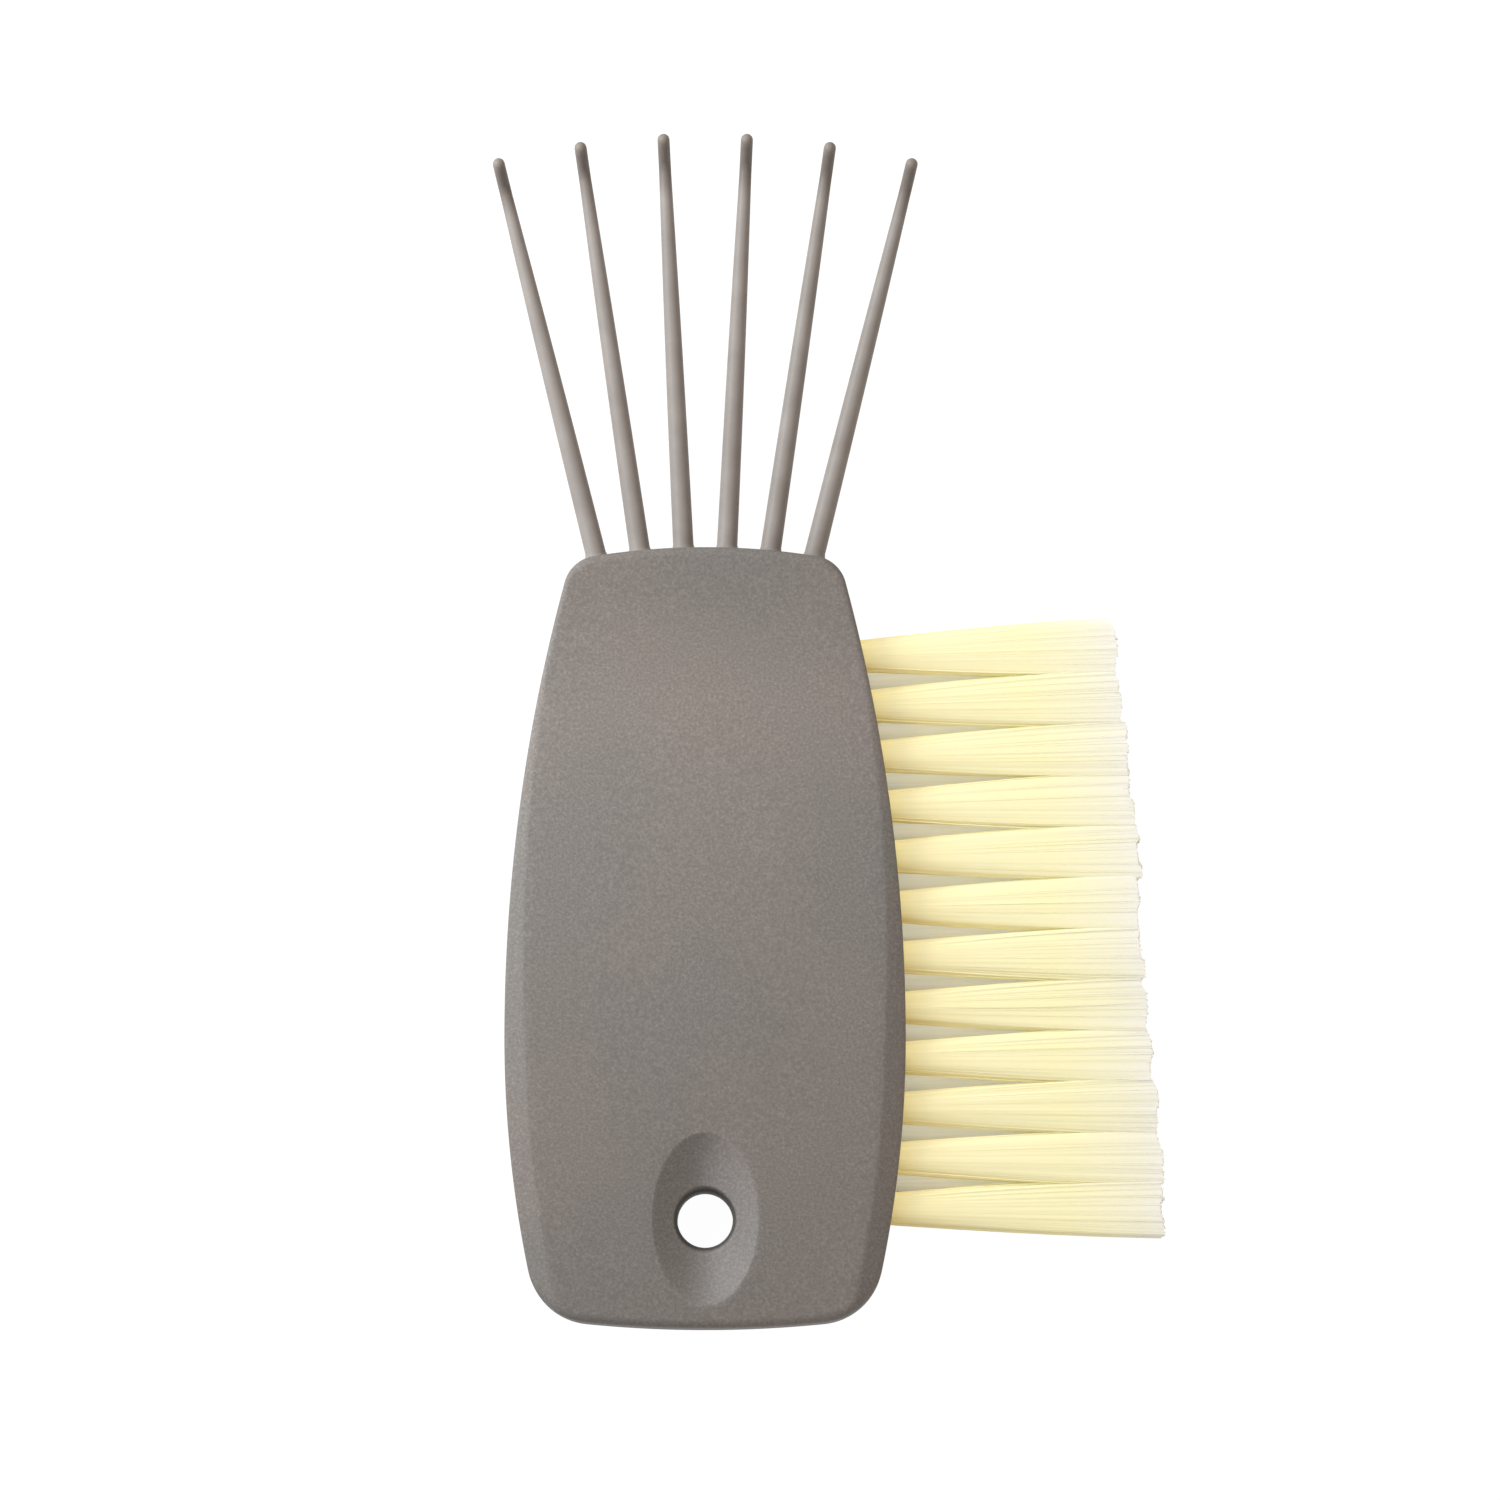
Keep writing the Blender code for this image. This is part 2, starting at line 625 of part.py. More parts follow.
def bar_outline():
    """The inside of the handle's top, above the bar's lower edge."""
    inset = SHELL_WALL + FIT
    points = [place - outward * inset for place, outward, share, window in OUTLINE]
    above = [point for point in points if point.y > BAR_EDGE_Y + OVERLAP]
    left = [point for point in above if point.x < 0]
    right = [point for point in above if point.x >= 0]
    corner = side_x(BAR_EDGE_Y, inset)
    return left + right + [Vector((corner, BAR_EDGE_Y)), Vector((-corner, BAR_EDGE_Y))]


def build_rake(material):
    bar = bmesh.new()
    add_prism(bar, bar_outline(), MIDDLE_Z - BAR_THICKNESS / 2, MIDDLE_Z + BAR_THICKNESS / 2)
    rake = make_object("tine_rake", bar, material)
    tines = bmesh.new()
    for i in range(TINE_COUNT):
        add_tine(tines, i)
    combine(rake, "UNION", "guide_tines", tines)
    holes = bmesh.new()
    for x, y in peg_places():
        add_post(holes, x, y, PEG_DIAMETER + 2 * FIT, MIDDLE_Z - BAR_THICKNESS, MIDDLE_Z + BAR_THICKNESS)
    combine(rake, "DIFFERENCE", "guide_peg_holes", holes)


# Bristles: rows of tufts, their block and their anchors


def tuft_rows():
    """Every tuft as (name, place of its mouth with X along the bristles, free length)."""
    window_length = WINDOW_TOP_Y - WINDOW_BOTTOM_Y
    count = int((window_length - 2 * TUFT_END_MARGIN) / TUFT_PITCH + 0.001) + 1
    first_y = (WINDOW_TOP_Y + WINDOW_BOTTOM_Y + (count - 1) * TUFT_PITCH) / 2
    rows = (("upper_tuft", count, 0.0, 1), ("lower_tuft", count - 1, 0.5, -1))
    tufts = []
    for name, tufts_in_row, offset, side in rows:
        for i in range(tufts_in_row):
            along = i + offset
            y = first_y - along * TUFT_PITCH
            turn = FAN_AT_TOP + (FAN_AT_BOTTOM - FAN_AT_TOP) * along / (count - 1)
            tilt = ROW_TILT * side
            mouth = Vector((side_x(y, BLOCK_RECESS), y, MIDDLE_Z + side * ROW_SPACING / 2))
            heading = Matrix.Rotation(turn, 4, "Z") @ Matrix.Rotation(-tilt, 4, "Y")
            place = Matrix.Translation(mouth) @ heading
            length = (trim_x(y) - mouth.x) / (math.cos(turn) * math.cos(tilt))
            tufts.append((f"{name}_{i + 1:02d}", place, length))
    return tufts


def trim_slope():
    """How much longer the bristles reach for each step down the side."""
    window_length = WINDOW_TOP_Y - WINDOW_BOTTOM_Y
    return (TRIM_BEYOND_SIDE_BOTTOM - TRIM_BEYOND_SIDE_TOP) / window_length


def trim_x(y):
    """Straight line that the bristle ends are trimmed to."""
    return HALF_WIDTH + TRIM_BEYOND_SIDE_TOP + (WINDOW_TOP_Y - y) * trim_slope()


def split_ring(x, radius, slot):
    """Ring across a tuft, with a corner where the anchor's slot meets its side."""
    steps = 4
    low = math.asin(slot / radius)
    upper = [low + (math.pi - 2 * low) * i / steps for i in range(steps + 1)]
    angles = upper + [math.pi + angle for angle in upper]
    return [Vector((x, radius * math.cos(angle), radius * math.sin(angle))) for angle in angles]


def strand_roots():
    """Centres of the strands over the tuft's end, and the turn of each strand's flats."""
    spread = STRAND_SPREAD * TUFT_RADIUS - STRAND_ROOT_RADIUS
    roots = []
    for ring, number in enumerate(STRAND_RINGS):
        radius = spread * ring / (len(STRAND_RINGS) - 1)
        for i in range(number):
            angle = 2 * math.pi * (i + 0.5 * (ring % 2)) / number
            roots.append((Vector((radius * math.cos(angle), radius * math.sin(angle))), angle))
    return roots


def strand_corners(centre, turn, radius):
    third = 2 * math.pi / 3
    return [
        centre + Vector((radius * math.cos(turn + i * third), radius * math.sin(turn + i * third)))
        for i in range(3)
    ]


def tuft_shape(length, draws):
    """Folded root that straddles its anchor, with the strands fused to its open end."""
    slot = ANCHOR_THICKNESS / 2 + FIT
    root_x = FIT - TUFT_HOLE_DEPTH
    slot_x = root_x + ANCHOR_DEPTH + FIT
    shape = bmesh.new()
    front = add_ring(shape, split_ring(0, TUFT_RADIUS, slot))
    middle = add_ring(shape, split_ring(slot_x, TUFT_RADIUS, slot))
    rear = add_ring(shape, split_ring(root_x, TUFT_RADIUS, slot))
    half = len(rear) // 2
    join_rings(shape, front, middle)
    shape.faces.new((middle[0], middle[half - 1], middle[half], middle[-1]))
    for leg in (range(half), range(half, 2 * half)):
        leg_middle = [middle[i] for i in leg]
        leg_rear = [rear[i] for i in leg]
        join_rings(shape, leg_middle, leg_rear)
        shape.faces.new(leg_rear)
    add_strands(shape, front, length, draws)
    return shape


def add_strands(shape, front, length, draws):
    """Close the open end between the strand roots, and draw each strand out of its own triangle."""
    roots = strand_roots()
    flat = [Vector((vert.co.y, vert.co.z)) for vert in front]
    loops = [list(range(len(flat)))]
    for centre, turn in roots:
        loops.append([len(flat) + i for i in range(3)])
        flat.extend(strand_corners(centre, turn, STRAND_ROOT_RADIUS))
    points, edges, faces, from_vert, from_edge, from_face = delaunay_2d_cdt(flat, [], loops, 1, 1e-7)
    verts = list(front)
    verts += [shape.verts.new((0, point.x, point.y)) for point in flat[len(front):]]
    order = [verts[sources[0]] for sources in from_vert]
    for face, sources in zip(faces, from_face):
        if sources == [0]:
            shape.faces.new([order[i] for i in face])
    cell_y = (TUFT_PITCH - TUFT_GAP_AT_TIPS) / 2
    cell_z = ROW_SPACING / 2 + length * math.sin(ROW_TILT) - TUFT_GAP_AT_TIPS / 2
    room = STRAND_SPREAD * TUFT_RADIUS - STRAND_ROOT_RADIUS
    for number, (centre, turn) in enumerate(roots):
        spread_y = centre.x * (cell_y - STRAND_TIP_RADIUS) / room
        spread_z = centre.y * (cell_z - STRAND_TIP_RADIUS) / room
        reach = length - spread_y * trim_slope() + draws.uniform(-TRIM_UNEVENNESS, TRIM_UNEVENNESS)
        corners = strand_corners(Vector((spread_y, spread_z)), turn, STRAND_TIP_RADIUS)
        tip = add_ring(shape, [(reach, corner.x, corner.y) for corner in corners])
        start = len(front) + 3 * number
        join_rings(shape, verts[start:start + 3], tip)
        shape.faces.new(tip)


def anchor_shape(shape, place, clearance):
    """Flat wire across the bottom of a tuft's hole, or the slot for it when grown by a clearance."""
    bottom_x = FIT - TUFT_HOLE_DEPTH
    half_width = ANCHOR_WIDTH / 2 + clearance
    half_thickness = ANCHOR_THICKNESS / 2 + clearance
    sections = []
    for x in (bottom_x - clearance, bottom_x + ANCHOR_DEPTH + clearance):
        corners = (
            (-half_width, -half_thickness),
            (half_width, -half_thickness),
            (half_width, half_thickness),
            (-half_width, half_thickness),
        )
        sections.append([place @ Vector((x, y, z)) for y, z in corners])
    add_loft(shape, sections)


def block_outline():
    """Neck that fills the window, and a wider body behind the wall that keeps it from pulling out."""
    neck_top = WINDOW_TOP_Y - FIT
    neck_bottom = WINDOW_BOTTOM_Y + FIT
    body_top = WINDOW_TOP_Y + BLOCK_FLANGE
    body_bottom = WINDOW_BOTTOM_Y - BLOCK_FLANGE
    step = SHELL_WALL + FIT
    face = side_run(neck_top, neck_bottom, BLOCK_RECESS)
    back = side_run(body_top, body_bottom, BLOCK_RECESS + BLOCK_DEPTH)
    lower_step = [side_place(neck_bottom, step), side_place(body_bottom, step)]
    upper_step = [side_place(body_top, step), side_place(neck_top, step)]
    return face + lower_step + back[::-1] + upper_step


def build_block(material, tufts):
    """Strip that follows the handle's side, with a blind hole and an anchor slot for every tuft."""
    strip = bmesh.new()
    add_prism(strip, block_outline(), MIDDLE_Z - BLOCK_HEIGHT / 2, MIDDLE_Z + BLOCK_HEIGHT / 2)
    block = make_object("bristle_block", strip, material)
    holes = bmesh.new()
    slots = bmesh.new()
    turn = 2 * math.pi / TUFT_HOLE_SIDES
    for name, place, length in tufts:
        sections = []
        for x in (-TUFT_HOLE_DEPTH, TUFT_HOLE_RADIUS):
            angles = [turn * (i + 0.5) for i in range(TUFT_HOLE_SIDES)]
            across = [(TUFT_HOLE_RADIUS * math.cos(a), TUFT_HOLE_RADIUS * math.sin(a)) for a in angles]
            sections.append([place @ Vector((x, y, z)) for y, z in across])
        add_loft(holes, sections)
        anchor_shape(slots, place, FIT)
    combine(block, "DIFFERENCE", "guide_tuft_holes", holes)
    combine(block, "DIFFERENCE", "guide_anchor_slots", slots)


def build_tufts(material, tufts):
    draws = random.Random(12)
    for name, place, length in tufts:
        make_object(name, tuft_shape(length, draws), material, place)


def build_anchors(material, tufts):
    """The flat wires that hold the folded tufts at the bottom of their holes, on one shared mesh."""
    wire = bmesh.new()
    anchor_shape(wire, Matrix.Identity(4), 0)
    first = None
    for name, place, length in tufts:
        if first is None:
            first = make_object(name.replace("tuft", "anchor"), wire, material, place)
            continue
        copy = bpy.data.objects.new(name.replace("tuft", "anchor"), first.data)
        bpy.context.scene.collection.objects.link(copy)
        copy.matrix_world = place


def main():
    clear_scene()
    handle_plastic = make_material("handle_plastic", (0.262, 0.231, 0.210), 0.6)
    rake_plastic = make_material("rake_plastic", (0.330, 0.286, 0.258), 0.45)
    block_plastic = make_material("block_plastic", (0.450, 0.400, 0.300), 0.6)
    bristle_nylon = make_material("bristle_nylon", (0.922, 0.855, 0.507), 0.45)
    anchor_steel = make_material("anchor_steel", (0.560, 0.550, 0.530), 0.35, 1.0)
    tufts = tuft_rows()
    build_handle(handle_plastic)
    build_rake(rake_plastic)
    build_block(block_plastic, tufts)
    build_tufts(bristle_nylon, tufts)
    build_anchors(anchor_steel, tufts)


main()
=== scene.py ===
"""Looks of the brush cleaning rake: smooth moulded shells, hooked tines, nylon tufts, light, camera.

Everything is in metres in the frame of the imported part: the flat back lies on z = 0, the tines
point along +Y, the bristles along +X and the moulded face looks up.
"""

import math

import bmesh
import bpy
import numpy as np
from mathutils import Matrix, Vector


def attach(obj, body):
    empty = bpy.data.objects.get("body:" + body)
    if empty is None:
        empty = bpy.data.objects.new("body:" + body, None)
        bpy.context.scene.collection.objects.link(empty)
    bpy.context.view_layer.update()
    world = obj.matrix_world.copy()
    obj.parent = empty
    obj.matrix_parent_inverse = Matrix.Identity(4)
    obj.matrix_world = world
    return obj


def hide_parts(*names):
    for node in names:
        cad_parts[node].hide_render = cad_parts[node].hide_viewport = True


# Handle outline, as in the part
HANDLE_LENGTH = 0.0818
HANDLE_WIDTH = 0.0420
HANDLE_THICKNESS = 0.0130
WIDEST_Y = -0.0105
UPPER_SIDE_RADIUS = 0.184
LOWER_SIDE_RADIUS = 0.120
TOP_EDGE_RADIUS = 0.073
BOTTOM_EDGE_RADIUS = 0.125
TOP_CORNER_RADIUS = 0.0037
BOTTOM_CORNER_RADIUS = 0.0068
WINDOW_TOP_Y = 0.0326
WINDOW_BOTTOM_Y = -0.03125
WINDOW_JAMB_TURN = 1e-7

# Shell section
WALL = 0.0020
CEILING_Z = 0.0108
FLOOR_Z = 0.0022
FRONT_RIM_Z = 0.00665
BACK_RIM_Z = 0.00635
FACE_EDGE_Z = 0.0126
FACE_DOME = 0.0004
BEVEL_WIDTH = 0.0021
BEVEL_WIDTH_AT_TOP = 0.0004
BEVEL_SLOPE = 0.45
BEVEL_STARTS_Y = 0.0270
BEVEL_FULL_Y = -0.0120
END_ROUNDING = 0.0009
SIDE_ROUNDING = 0.00028
SIDES_UP_TO = 0.3
ENDS_BEGIN_AT = 0.75
EDGE_MARGIN = 0.0003
CREASE_SOFTNESS = 0.00009
BACK_EDGE_RADIUS = 0.0017
RIM_CHAMFER = 0.00012
LIP_CHAMFER = 0.00015
LIP_INSETS = (0.0005, 0.0008, 0.0010, 0.0014, 0.0017)

# Hanging hole and its scoop
HOLE_Y = -0.0295
HOLE_RADIUS = 0.00290
RIM_HALF_WIDTH = 0.00328
RIM_HALF_LENGTH = 0.00350
SCOOP_HALF_WIDTH = 0.00555
SCOOP_HALF_LENGTH = 0.00905
SCOOP_SLOPE = 0.72
SCOOP_KEEL = 0.0028
SCOOP_EDGE_SOFTNESS = 0.00008
TUBE_RADIUS = 0.00485
TUBE_NECK = 0.0012
FRONT_FOOT_MARGIN = 0.0005
FRONT_FOOT_HALF_LENGTH = 0.00765
BACK_FOOT_MARGIN = 0.0004

# Throat of the hole: share of the way to the scoop's floor, and drop below it
THROAT_PROFILE = ((0, 0.0020), (0.2, 0.0013), (0.5, 0.0007), (0.8, 0.00022), (0.95, 0.00004))

# Countersink on the back: how much wider than the hole, and at which level
COUNTERSINK_PROFILE = (
    (0.0, 0.00105),
    (0.00005, 0.00092),
    (0.00018, 0.00080),
    (0.00066, 0.00014),
    (0.0008, 0.00004),
    (0.00095, 0),
)

# Rake
TINE_COUNT = 6
TINE_FAN_STEP = math.radians(5.6)
FAN_CENTRE = Vector((0, -0.0056, 0.0065))
TINE_REACH = 0.0902
TINE_ROOT_RADIUS = 0.00108
TINE_TIP_RADIUS = 0.00064
TINE_BELLY = 0.00006
TINE_ROOT_LENGTH = 0.0045
TINE_HOOK_RADIUS = 0.0022
TINE_HOOK_TURN = math.radians(52)
TINE_HOOK_END = 0.0026
HOOK_SHADE_LENGTH = 0.0070
PASSAGE_GAP = 0.0001
PASSAGE_INSIDE = 0.0035
PASSAGE_OUTSIDE = 0.0010
BAR_THICKNESS = 0.0040
BAR_EDGE_Y = 0.0337
BAR_CORNER_MARGIN = 0.0005
FIT = 0.0003

# Flare of a tine against the wall: how far out of it, and how much wider
TINE_FLARE = ((0.00002, 0.0), (0.00002, 0.00032), (0.00012, 0.00018), (0.00028, 0.00008), (0.0006, 0.0))

# Rows of tufts
TUFT_PITCH = 0.00527
TUFT_COUNT = 12
ROW_SPACING = 0.0035
ROW_TILT = math.radians(1.5)
FAN_AT_TOP = math.radians(2.0)
FAN_AT_BOTTOM = math.radians(-0.1)
BLOCK_RECESS = 0.0004
TRIM_AT_TOP_X = 0.0432
TRIM_SLOPE = 0.0814
REAR_CUT_SHORT = 0.0007
TUFT_CUT_SPREAD = 0.00028
FIRST_SEED = 40

# Shape of a tuft
TUFT_ROOT_RADIUS = 0.00162
TUFT_ROOT_DEPTH = 0.0049
TUFT_END_HALF_WIDTH = 0.0029
TUFT_END_HALF_HEIGHT = 0.0021
SQUARENESS = 0.92
OPENING_POWER = 1.5
CORE_END_SCALE = 0.99
CORE_END_SHORT = 0.00014
CORE_FLUTE_DEPTH = 0.00002
CORE_STATIONS = (0, 0.04, 0.1, 0.17, 0.26, 0.36, 0.48, 0.6, 0.72, 0.84, 0.985, 1.0)

# Filaments
FILAMENT_RADIUS = 0.000075
FILAMENTS_IN_FRONT = 72
FILAMENTS_BEHIND = 54
OUTSIDE_REACH = 0.985
OUTSIDE_REACH_SPREAD = 0.02
BOW = 0.00004
WANDER = 0.00005
STRAY_SHARE = 0.015
STRAY_BOW = 6
INSIDE_FROM = 0.98
ENDS_FROM = 0.994
FILAMENT_STATIONS = (0, 0.06, 0.14, 0.26, 0.42, 0.6, 0.78, 0.99, ENDS_FROM, 1.0)

# Cut ends
CUT_END_RADIUS = 0.00012
CUT_ENDS_IN_FRONT = 290
CUT_ENDS_BEHIND = 220
CUT_ENDS_REACH = 0.94
CUT_SPREAD = 0.00006
CUT_SHORT = 0.00007
CUT_SHORTEST = -0.0008
CUT_LONGEST = 0.00025
CUT_LEAN = 0.09
CLUMP_CUT = 0.00017
CLUMP_EDGE = 2.5
CLUMPS = 4.0
SHOULDER_DROP = 0.00045
SHOULDER_POWER = 4
CUT_DIRECTION = (1, 0, 1.2)
CUT_CELL = 0.00030

# Shading of a tuft as one soft mass
OWN_ROUNDNESS = 0.07
OWN_ROUNDNESS_AT_SIDES = 0.7
OUTSIDE_POWER = 4
TURNED_UNDER = -0.72
ROOT_FLATNESS = 0.35
SHEET_FLATNESS = 0.92
SIDE_FACES_UP_TO = 0.62
SHEET_FACES_FROM = 0.84
SIDE_FACES_LIFT = 2.0
OPEN_SIDE_FROM = 0.5
OPEN_SIDE_LIFT = 1.3
# Painted shade on the sides of the tufts that face away from the light, strongest at the roots
LOWER_SHADE_POWER = 1.5
LOWER_SHADE_FADE = 0.85
CORE_TONE_FROM = 0.4

# How finely round shapes are cut into flats, and from which angle an edge is sharp
SHARP_ANGLE = math.radians(40)
CORNER_STEPS = 16
END_STEPS = 26
SIDE_STEPS = 90
STEPS_ABOVE_WINDOW = 8
STEPS_BELOW_WINDOW = 10
ROUNDING_ANGLES = np.radians((0, 15, 30, 45, 60, 75, 90))
CREASE_STEPS = (0.00018, 0.00009, 0.00003, -0.00003, -0.00009, -0.00018)
BEVEL_SHARES = (0.66, 0.33)
SCOOP_SHARES = (0.01, 0.05, 0.15, 0.3, 0.45, 0.6, 0.75, 0.87, 0.94, 0.97, 0.99, 1.0, 1.01, 1.03, 1.06)
FACE_STEPS = 17
BACK_STEPS = 5
TINE_SIDES = 20
TINE_STEPS = 10
HOOK_STEPS = 14
TINE_END_ANGLES = np.radians((22, 44, 64, 80))
FILAMENT_SIDES = 5
CORE_SIDES = 84

# Tones of the handle's face and of its scoop, the scoop painted lighter than the face as painted light on
# its walls, and where the ramps round the hole have its oval
FACE_TONE = (244, 242, 240)
SCOOP_PAINTED_LIGHT = (255, 255, 255)
OVAL_AT = 0.7

# Light, floor and camera
KEY_POSITION = Vector((-0.225, 0.130, 0.150))
KEY_SIZE = 0.16
KEY_POWER = 0.385
FILL_POWER = 0.77
KEY_COLOUR = (0.95, 1.0, 1.02)
WORLD_LEVEL = 0.70
WARM_SIDE = (0.9, 0.43, 0)
WORLD_LEFT = (0.97, 1.0, 1.02, 1)
WORLD_RIGHT = (1.18, 1.02, 0.85, 1)
FLOOR_GLOW = 0.93
FLOOR_COLOUR = 0.12
FLOOR_BOUNCE = 0.55
FLOOR_HALF_SIZE = 1.5
FLOOR_DROP = 0.00005
CAMERA_DISTANCE = 2.0
CAMERA_SENSOR_WIDTH = 36
CAMERA_CLIP_END = 10
CAMERA_HEIGHT_ANGLE = math.radians(87.2)
VIEW_WIDTH = 0.1569
VIEW_CENTRE = Vector((0.0047, 0.01956, 0.0130))

HALF_WIDTH = HANDLE_WIDTH / 2
TOP_Y = HANDLE_LENGTH / 2
MIDDLE_Z = HANDLE_THICKNESS / 2
HOLE = Vector((0, HOLE_Y))

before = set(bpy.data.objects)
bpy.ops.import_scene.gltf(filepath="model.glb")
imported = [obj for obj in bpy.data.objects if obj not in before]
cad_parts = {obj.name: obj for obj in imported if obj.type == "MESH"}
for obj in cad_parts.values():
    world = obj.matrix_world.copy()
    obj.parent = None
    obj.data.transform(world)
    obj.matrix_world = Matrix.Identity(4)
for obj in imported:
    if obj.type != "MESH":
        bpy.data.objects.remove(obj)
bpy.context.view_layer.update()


def lerp(a, b, share):
    return a + (b - a) * share


def smooth_step(value, low, high):
    share = np.clip((value - low) / (high - low), 0, 1)
    return share * share * (3 - 2 * share)


def dressed(name, mesh, material, replaced):
    """Put a finished mesh in the scene as the piece that stands for these CAD nodes."""
    piece = bpy.data.objects.new(name, mesh)
    bpy.context.scene.collection.objects.link(piece)
    mesh.materials.clear()
    mesh.materials.append(material)
    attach(piece, "root")
    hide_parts(*replaced)


def skinned(name, rings, looped=False):
    """Skin a stack of equal rings. A looped stack closes on itself, and any other gets flat ends."""
    count = len(rings[0])
    verts = np.concatenate([np.asarray(ring, float) for ring in rings])
    around = np.arange(count)
    following = (around + 1) % count
    bands = len(rings) if looped else len(rings) - 1
    faces = []
    for band in range(bands):
        near = band * count
        far = (band + 1) % len(rings) * count
        quads = (near + around, near + following, far + following, far + around)
        faces += np.stack(quads, axis=1).tolist()
    if not looped:
        faces.append(around.tolist())
        faces.append((around + (len(rings) - 1) * count).tolist())
    mesh = bpy.data.meshes.new(name)
    mesh.from_pydata(verts.tolist(), [], faces)
    return mesh


def face_outwards(mesh):
    """Turn the faces of a mesh outwards and shade it smooth, but for its sharp edges."""
    shape = bmesh.new()
    shape.from_mesh(mesh)
    bmesh.ops.recalc_face_normals(shape, faces=shape.faces)
    shape.to_mesh(mesh)
    shape.free()
    mesh.shade_smooth()
    mesh.set_sharp_from_angle(angle=SHARP_ANGLE)


# Handle outline: arcs that run tangent into each other


def corner_centre(centre_a, radius_a, centre_b, radius_b, corner_radius):
    """Centre of a corner arc that touches two larger arcs from inside, on the right-hand side."""
    reach_a = radius_a - corner_radius
    reach_b = radius_b - corner_radius
    apart = centre_b - centre_a
    along = (apart.length_squared + reach_a**2 - reach_b**2) / (2 * apart.length)
    across = math.sqrt(reach_a**2 - along**2)
    direction = apart.normalized()
    sideways = Vector((-direction.y, direction.x))
    choices = [centre_a + direction * along + sideways * across * sign for sign in (1, -1)]
    return max(choices, key=lambda centre: centre.x)


def angle_from(centre, point):
    return math.atan2(point.y - centre.y, point.x - centre.x)


def side_x(y):
    """How far the side stands from the centre line; its arcs run on past the corners."""
    radius = np.where(np.asarray(y) > WIDEST_Y, UPPER_SIDE_RADIUS, LOWER_SIDE_RADIUS)
    return HALF_WIDTH - radius + np.sqrt(radius**2 - (y - WIDEST_Y) ** 2)


def side_lean(y):
    """Cosine of the angle between the side and the centre line."""
    radius = np.where(np.asarray(y) > WIDEST_Y, UPPER_SIDE_RADIUS, LOWER_SIDE_RADIUS)
    return np.sqrt(1 - ((y - WIDEST_Y) / radius) ** 2)


def outline_arcs():
    """Arcs of the right half, clockwise from the top: centre, radius, two angles, steps, in the window."""
    top_centre = Vector((0, TOP_Y - TOP_EDGE_RADIUS))
    bottom_centre = Vector((0, BOTTOM_EDGE_RADIUS - TOP_Y))
    upper_centre = Vector((HALF_WIDTH - UPPER_SIDE_RADIUS, WIDEST_Y))
    lower_centre = Vector((HALF_WIDTH - LOWER_SIDE_RADIUS, WIDEST_Y))
    top_corner = corner_centre(
        top_centre, TOP_EDGE_RADIUS, upper_centre, UPPER_SIDE_RADIUS, TOP_CORNER_RADIUS
    )
    bottom_corner = corner_centre(
        lower_centre, LOWER_SIDE_RADIUS, bottom_centre, BOTTOM_EDGE_RADIUS, BOTTOM_CORNER_RADIUS
    )
    quarter = math.pi / 2
    jamb = WINDOW_JAMB_TURN
    window_top = math.asin((WINDOW_TOP_Y - WIDEST_Y) / UPPER_SIDE_RADIUS)
    window_bottom = math.asin((WINDOW_BOTTOM_Y - WIDEST_Y) / LOWER_SIDE_RADIUS)
    corner_start = angle_from(top_centre, top_corner)
    upper_side = [angle_from(upper_centre, top_corner), window_top + jamb, window_top - jamb, 0]
    lower_side = [0, window_bottom + jamb, window_bottom - jamb, angle_from(lower_centre, bottom_corner)]
    upper_steps = (STEPS_ABOVE_WINDOW, 1, SIDE_STEPS // 2)
    lower_steps = (SIDE_STEPS // 4, 1, STEPS_BELOW_WINDOW)
    arcs = [
        (top_centre, TOP_EDGE_RADIUS, quarter, corner_start, END_STEPS, False),
        (top_corner, TOP_CORNER_RADIUS, corner_start, upper_side[0], CORNER_STEPS, False),
    ]
    for i, in_window in enumerate((False, False, True)):
        arcs.append(
            (upper_centre, UPPER_SIDE_RADIUS, upper_side[i], upper_side[i + 1], upper_steps[i], in_window)
        )
    for i, in_window in enumerate((True, True, False)):
        arcs.append(
            (lower_centre, LOWER_SIDE_RADIUS, lower_side[i], lower_side[i + 1], lower_steps[i], in_window)
        )
    corner_end = angle_from(bottom_centre, bottom_corner)
    arcs += [
        (bottom_corner, BOTTOM_CORNER_RADIUS, lower_side[-1], corner_end, CORNER_STEPS, False),
        (bottom_centre, BOTTOM_EDGE_RADIUS, corner_end, -quarter, END_STEPS, False),
    ]
    return arcs


def handle_outline():
    """Points clockwise round the handle from the top: places, outward directions, window flags."""
    places = []
    outwards = []
    windows = []
    for centre, radius, start, end, steps, in_window in outline_arcs():
        for i in range(steps):
            angle = start + (end - start) * i / steps
            outward = (math.cos(angle), math.sin(angle))
            places.append((centre.x + radius * outward[0], centre.y + radius * outward[1]))
            outwards.append(outward)
            windows.append(in_window)
    left_places = [(-x, y) for x, y in reversed(places[1:])]
    left_outwards = [(-x, y) for x, y in reversed(outwards[1:])]
    places = np.array(places + [(0, -TOP_Y)] + left_places)
    outwards = np.array(outwards + [(0, -1)] + left_outwards)
    windows = np.array(windows + [False] * (len(places) - len(windows)))
    return places, outwards, windows


PLACES, OUTWARDS, IN_WINDOW = handle_outline()


def ring_at(inset, z):
    """Outline ring moved in and set at a level; both may differ from point to point."""
    inset = np.broadcast_to(inset, len(PLACES))
    points = PLACES - OUTWARDS * inset[:, None]
    return np.column_stack((points, np.broadcast_to(z, len(PLACES))))


def oval_ring(half_width, half_length, z, towards):
    """Oval round the hole, each point on the line from the hole's middle to its outline point."""
    rays = towards[:, :2] - np.array(HOLE)
    rays /= np.linalg.norm(rays, axis=1)[:, None]
    reach = 1 / np.hypot(rays[:, 0] / half_width, rays[:, 1] / half_length)
    points = np.array(HOLE) + rays * reach[:, None]
    return np.column_stack((points, np.broadcast_to(z, len(points))))


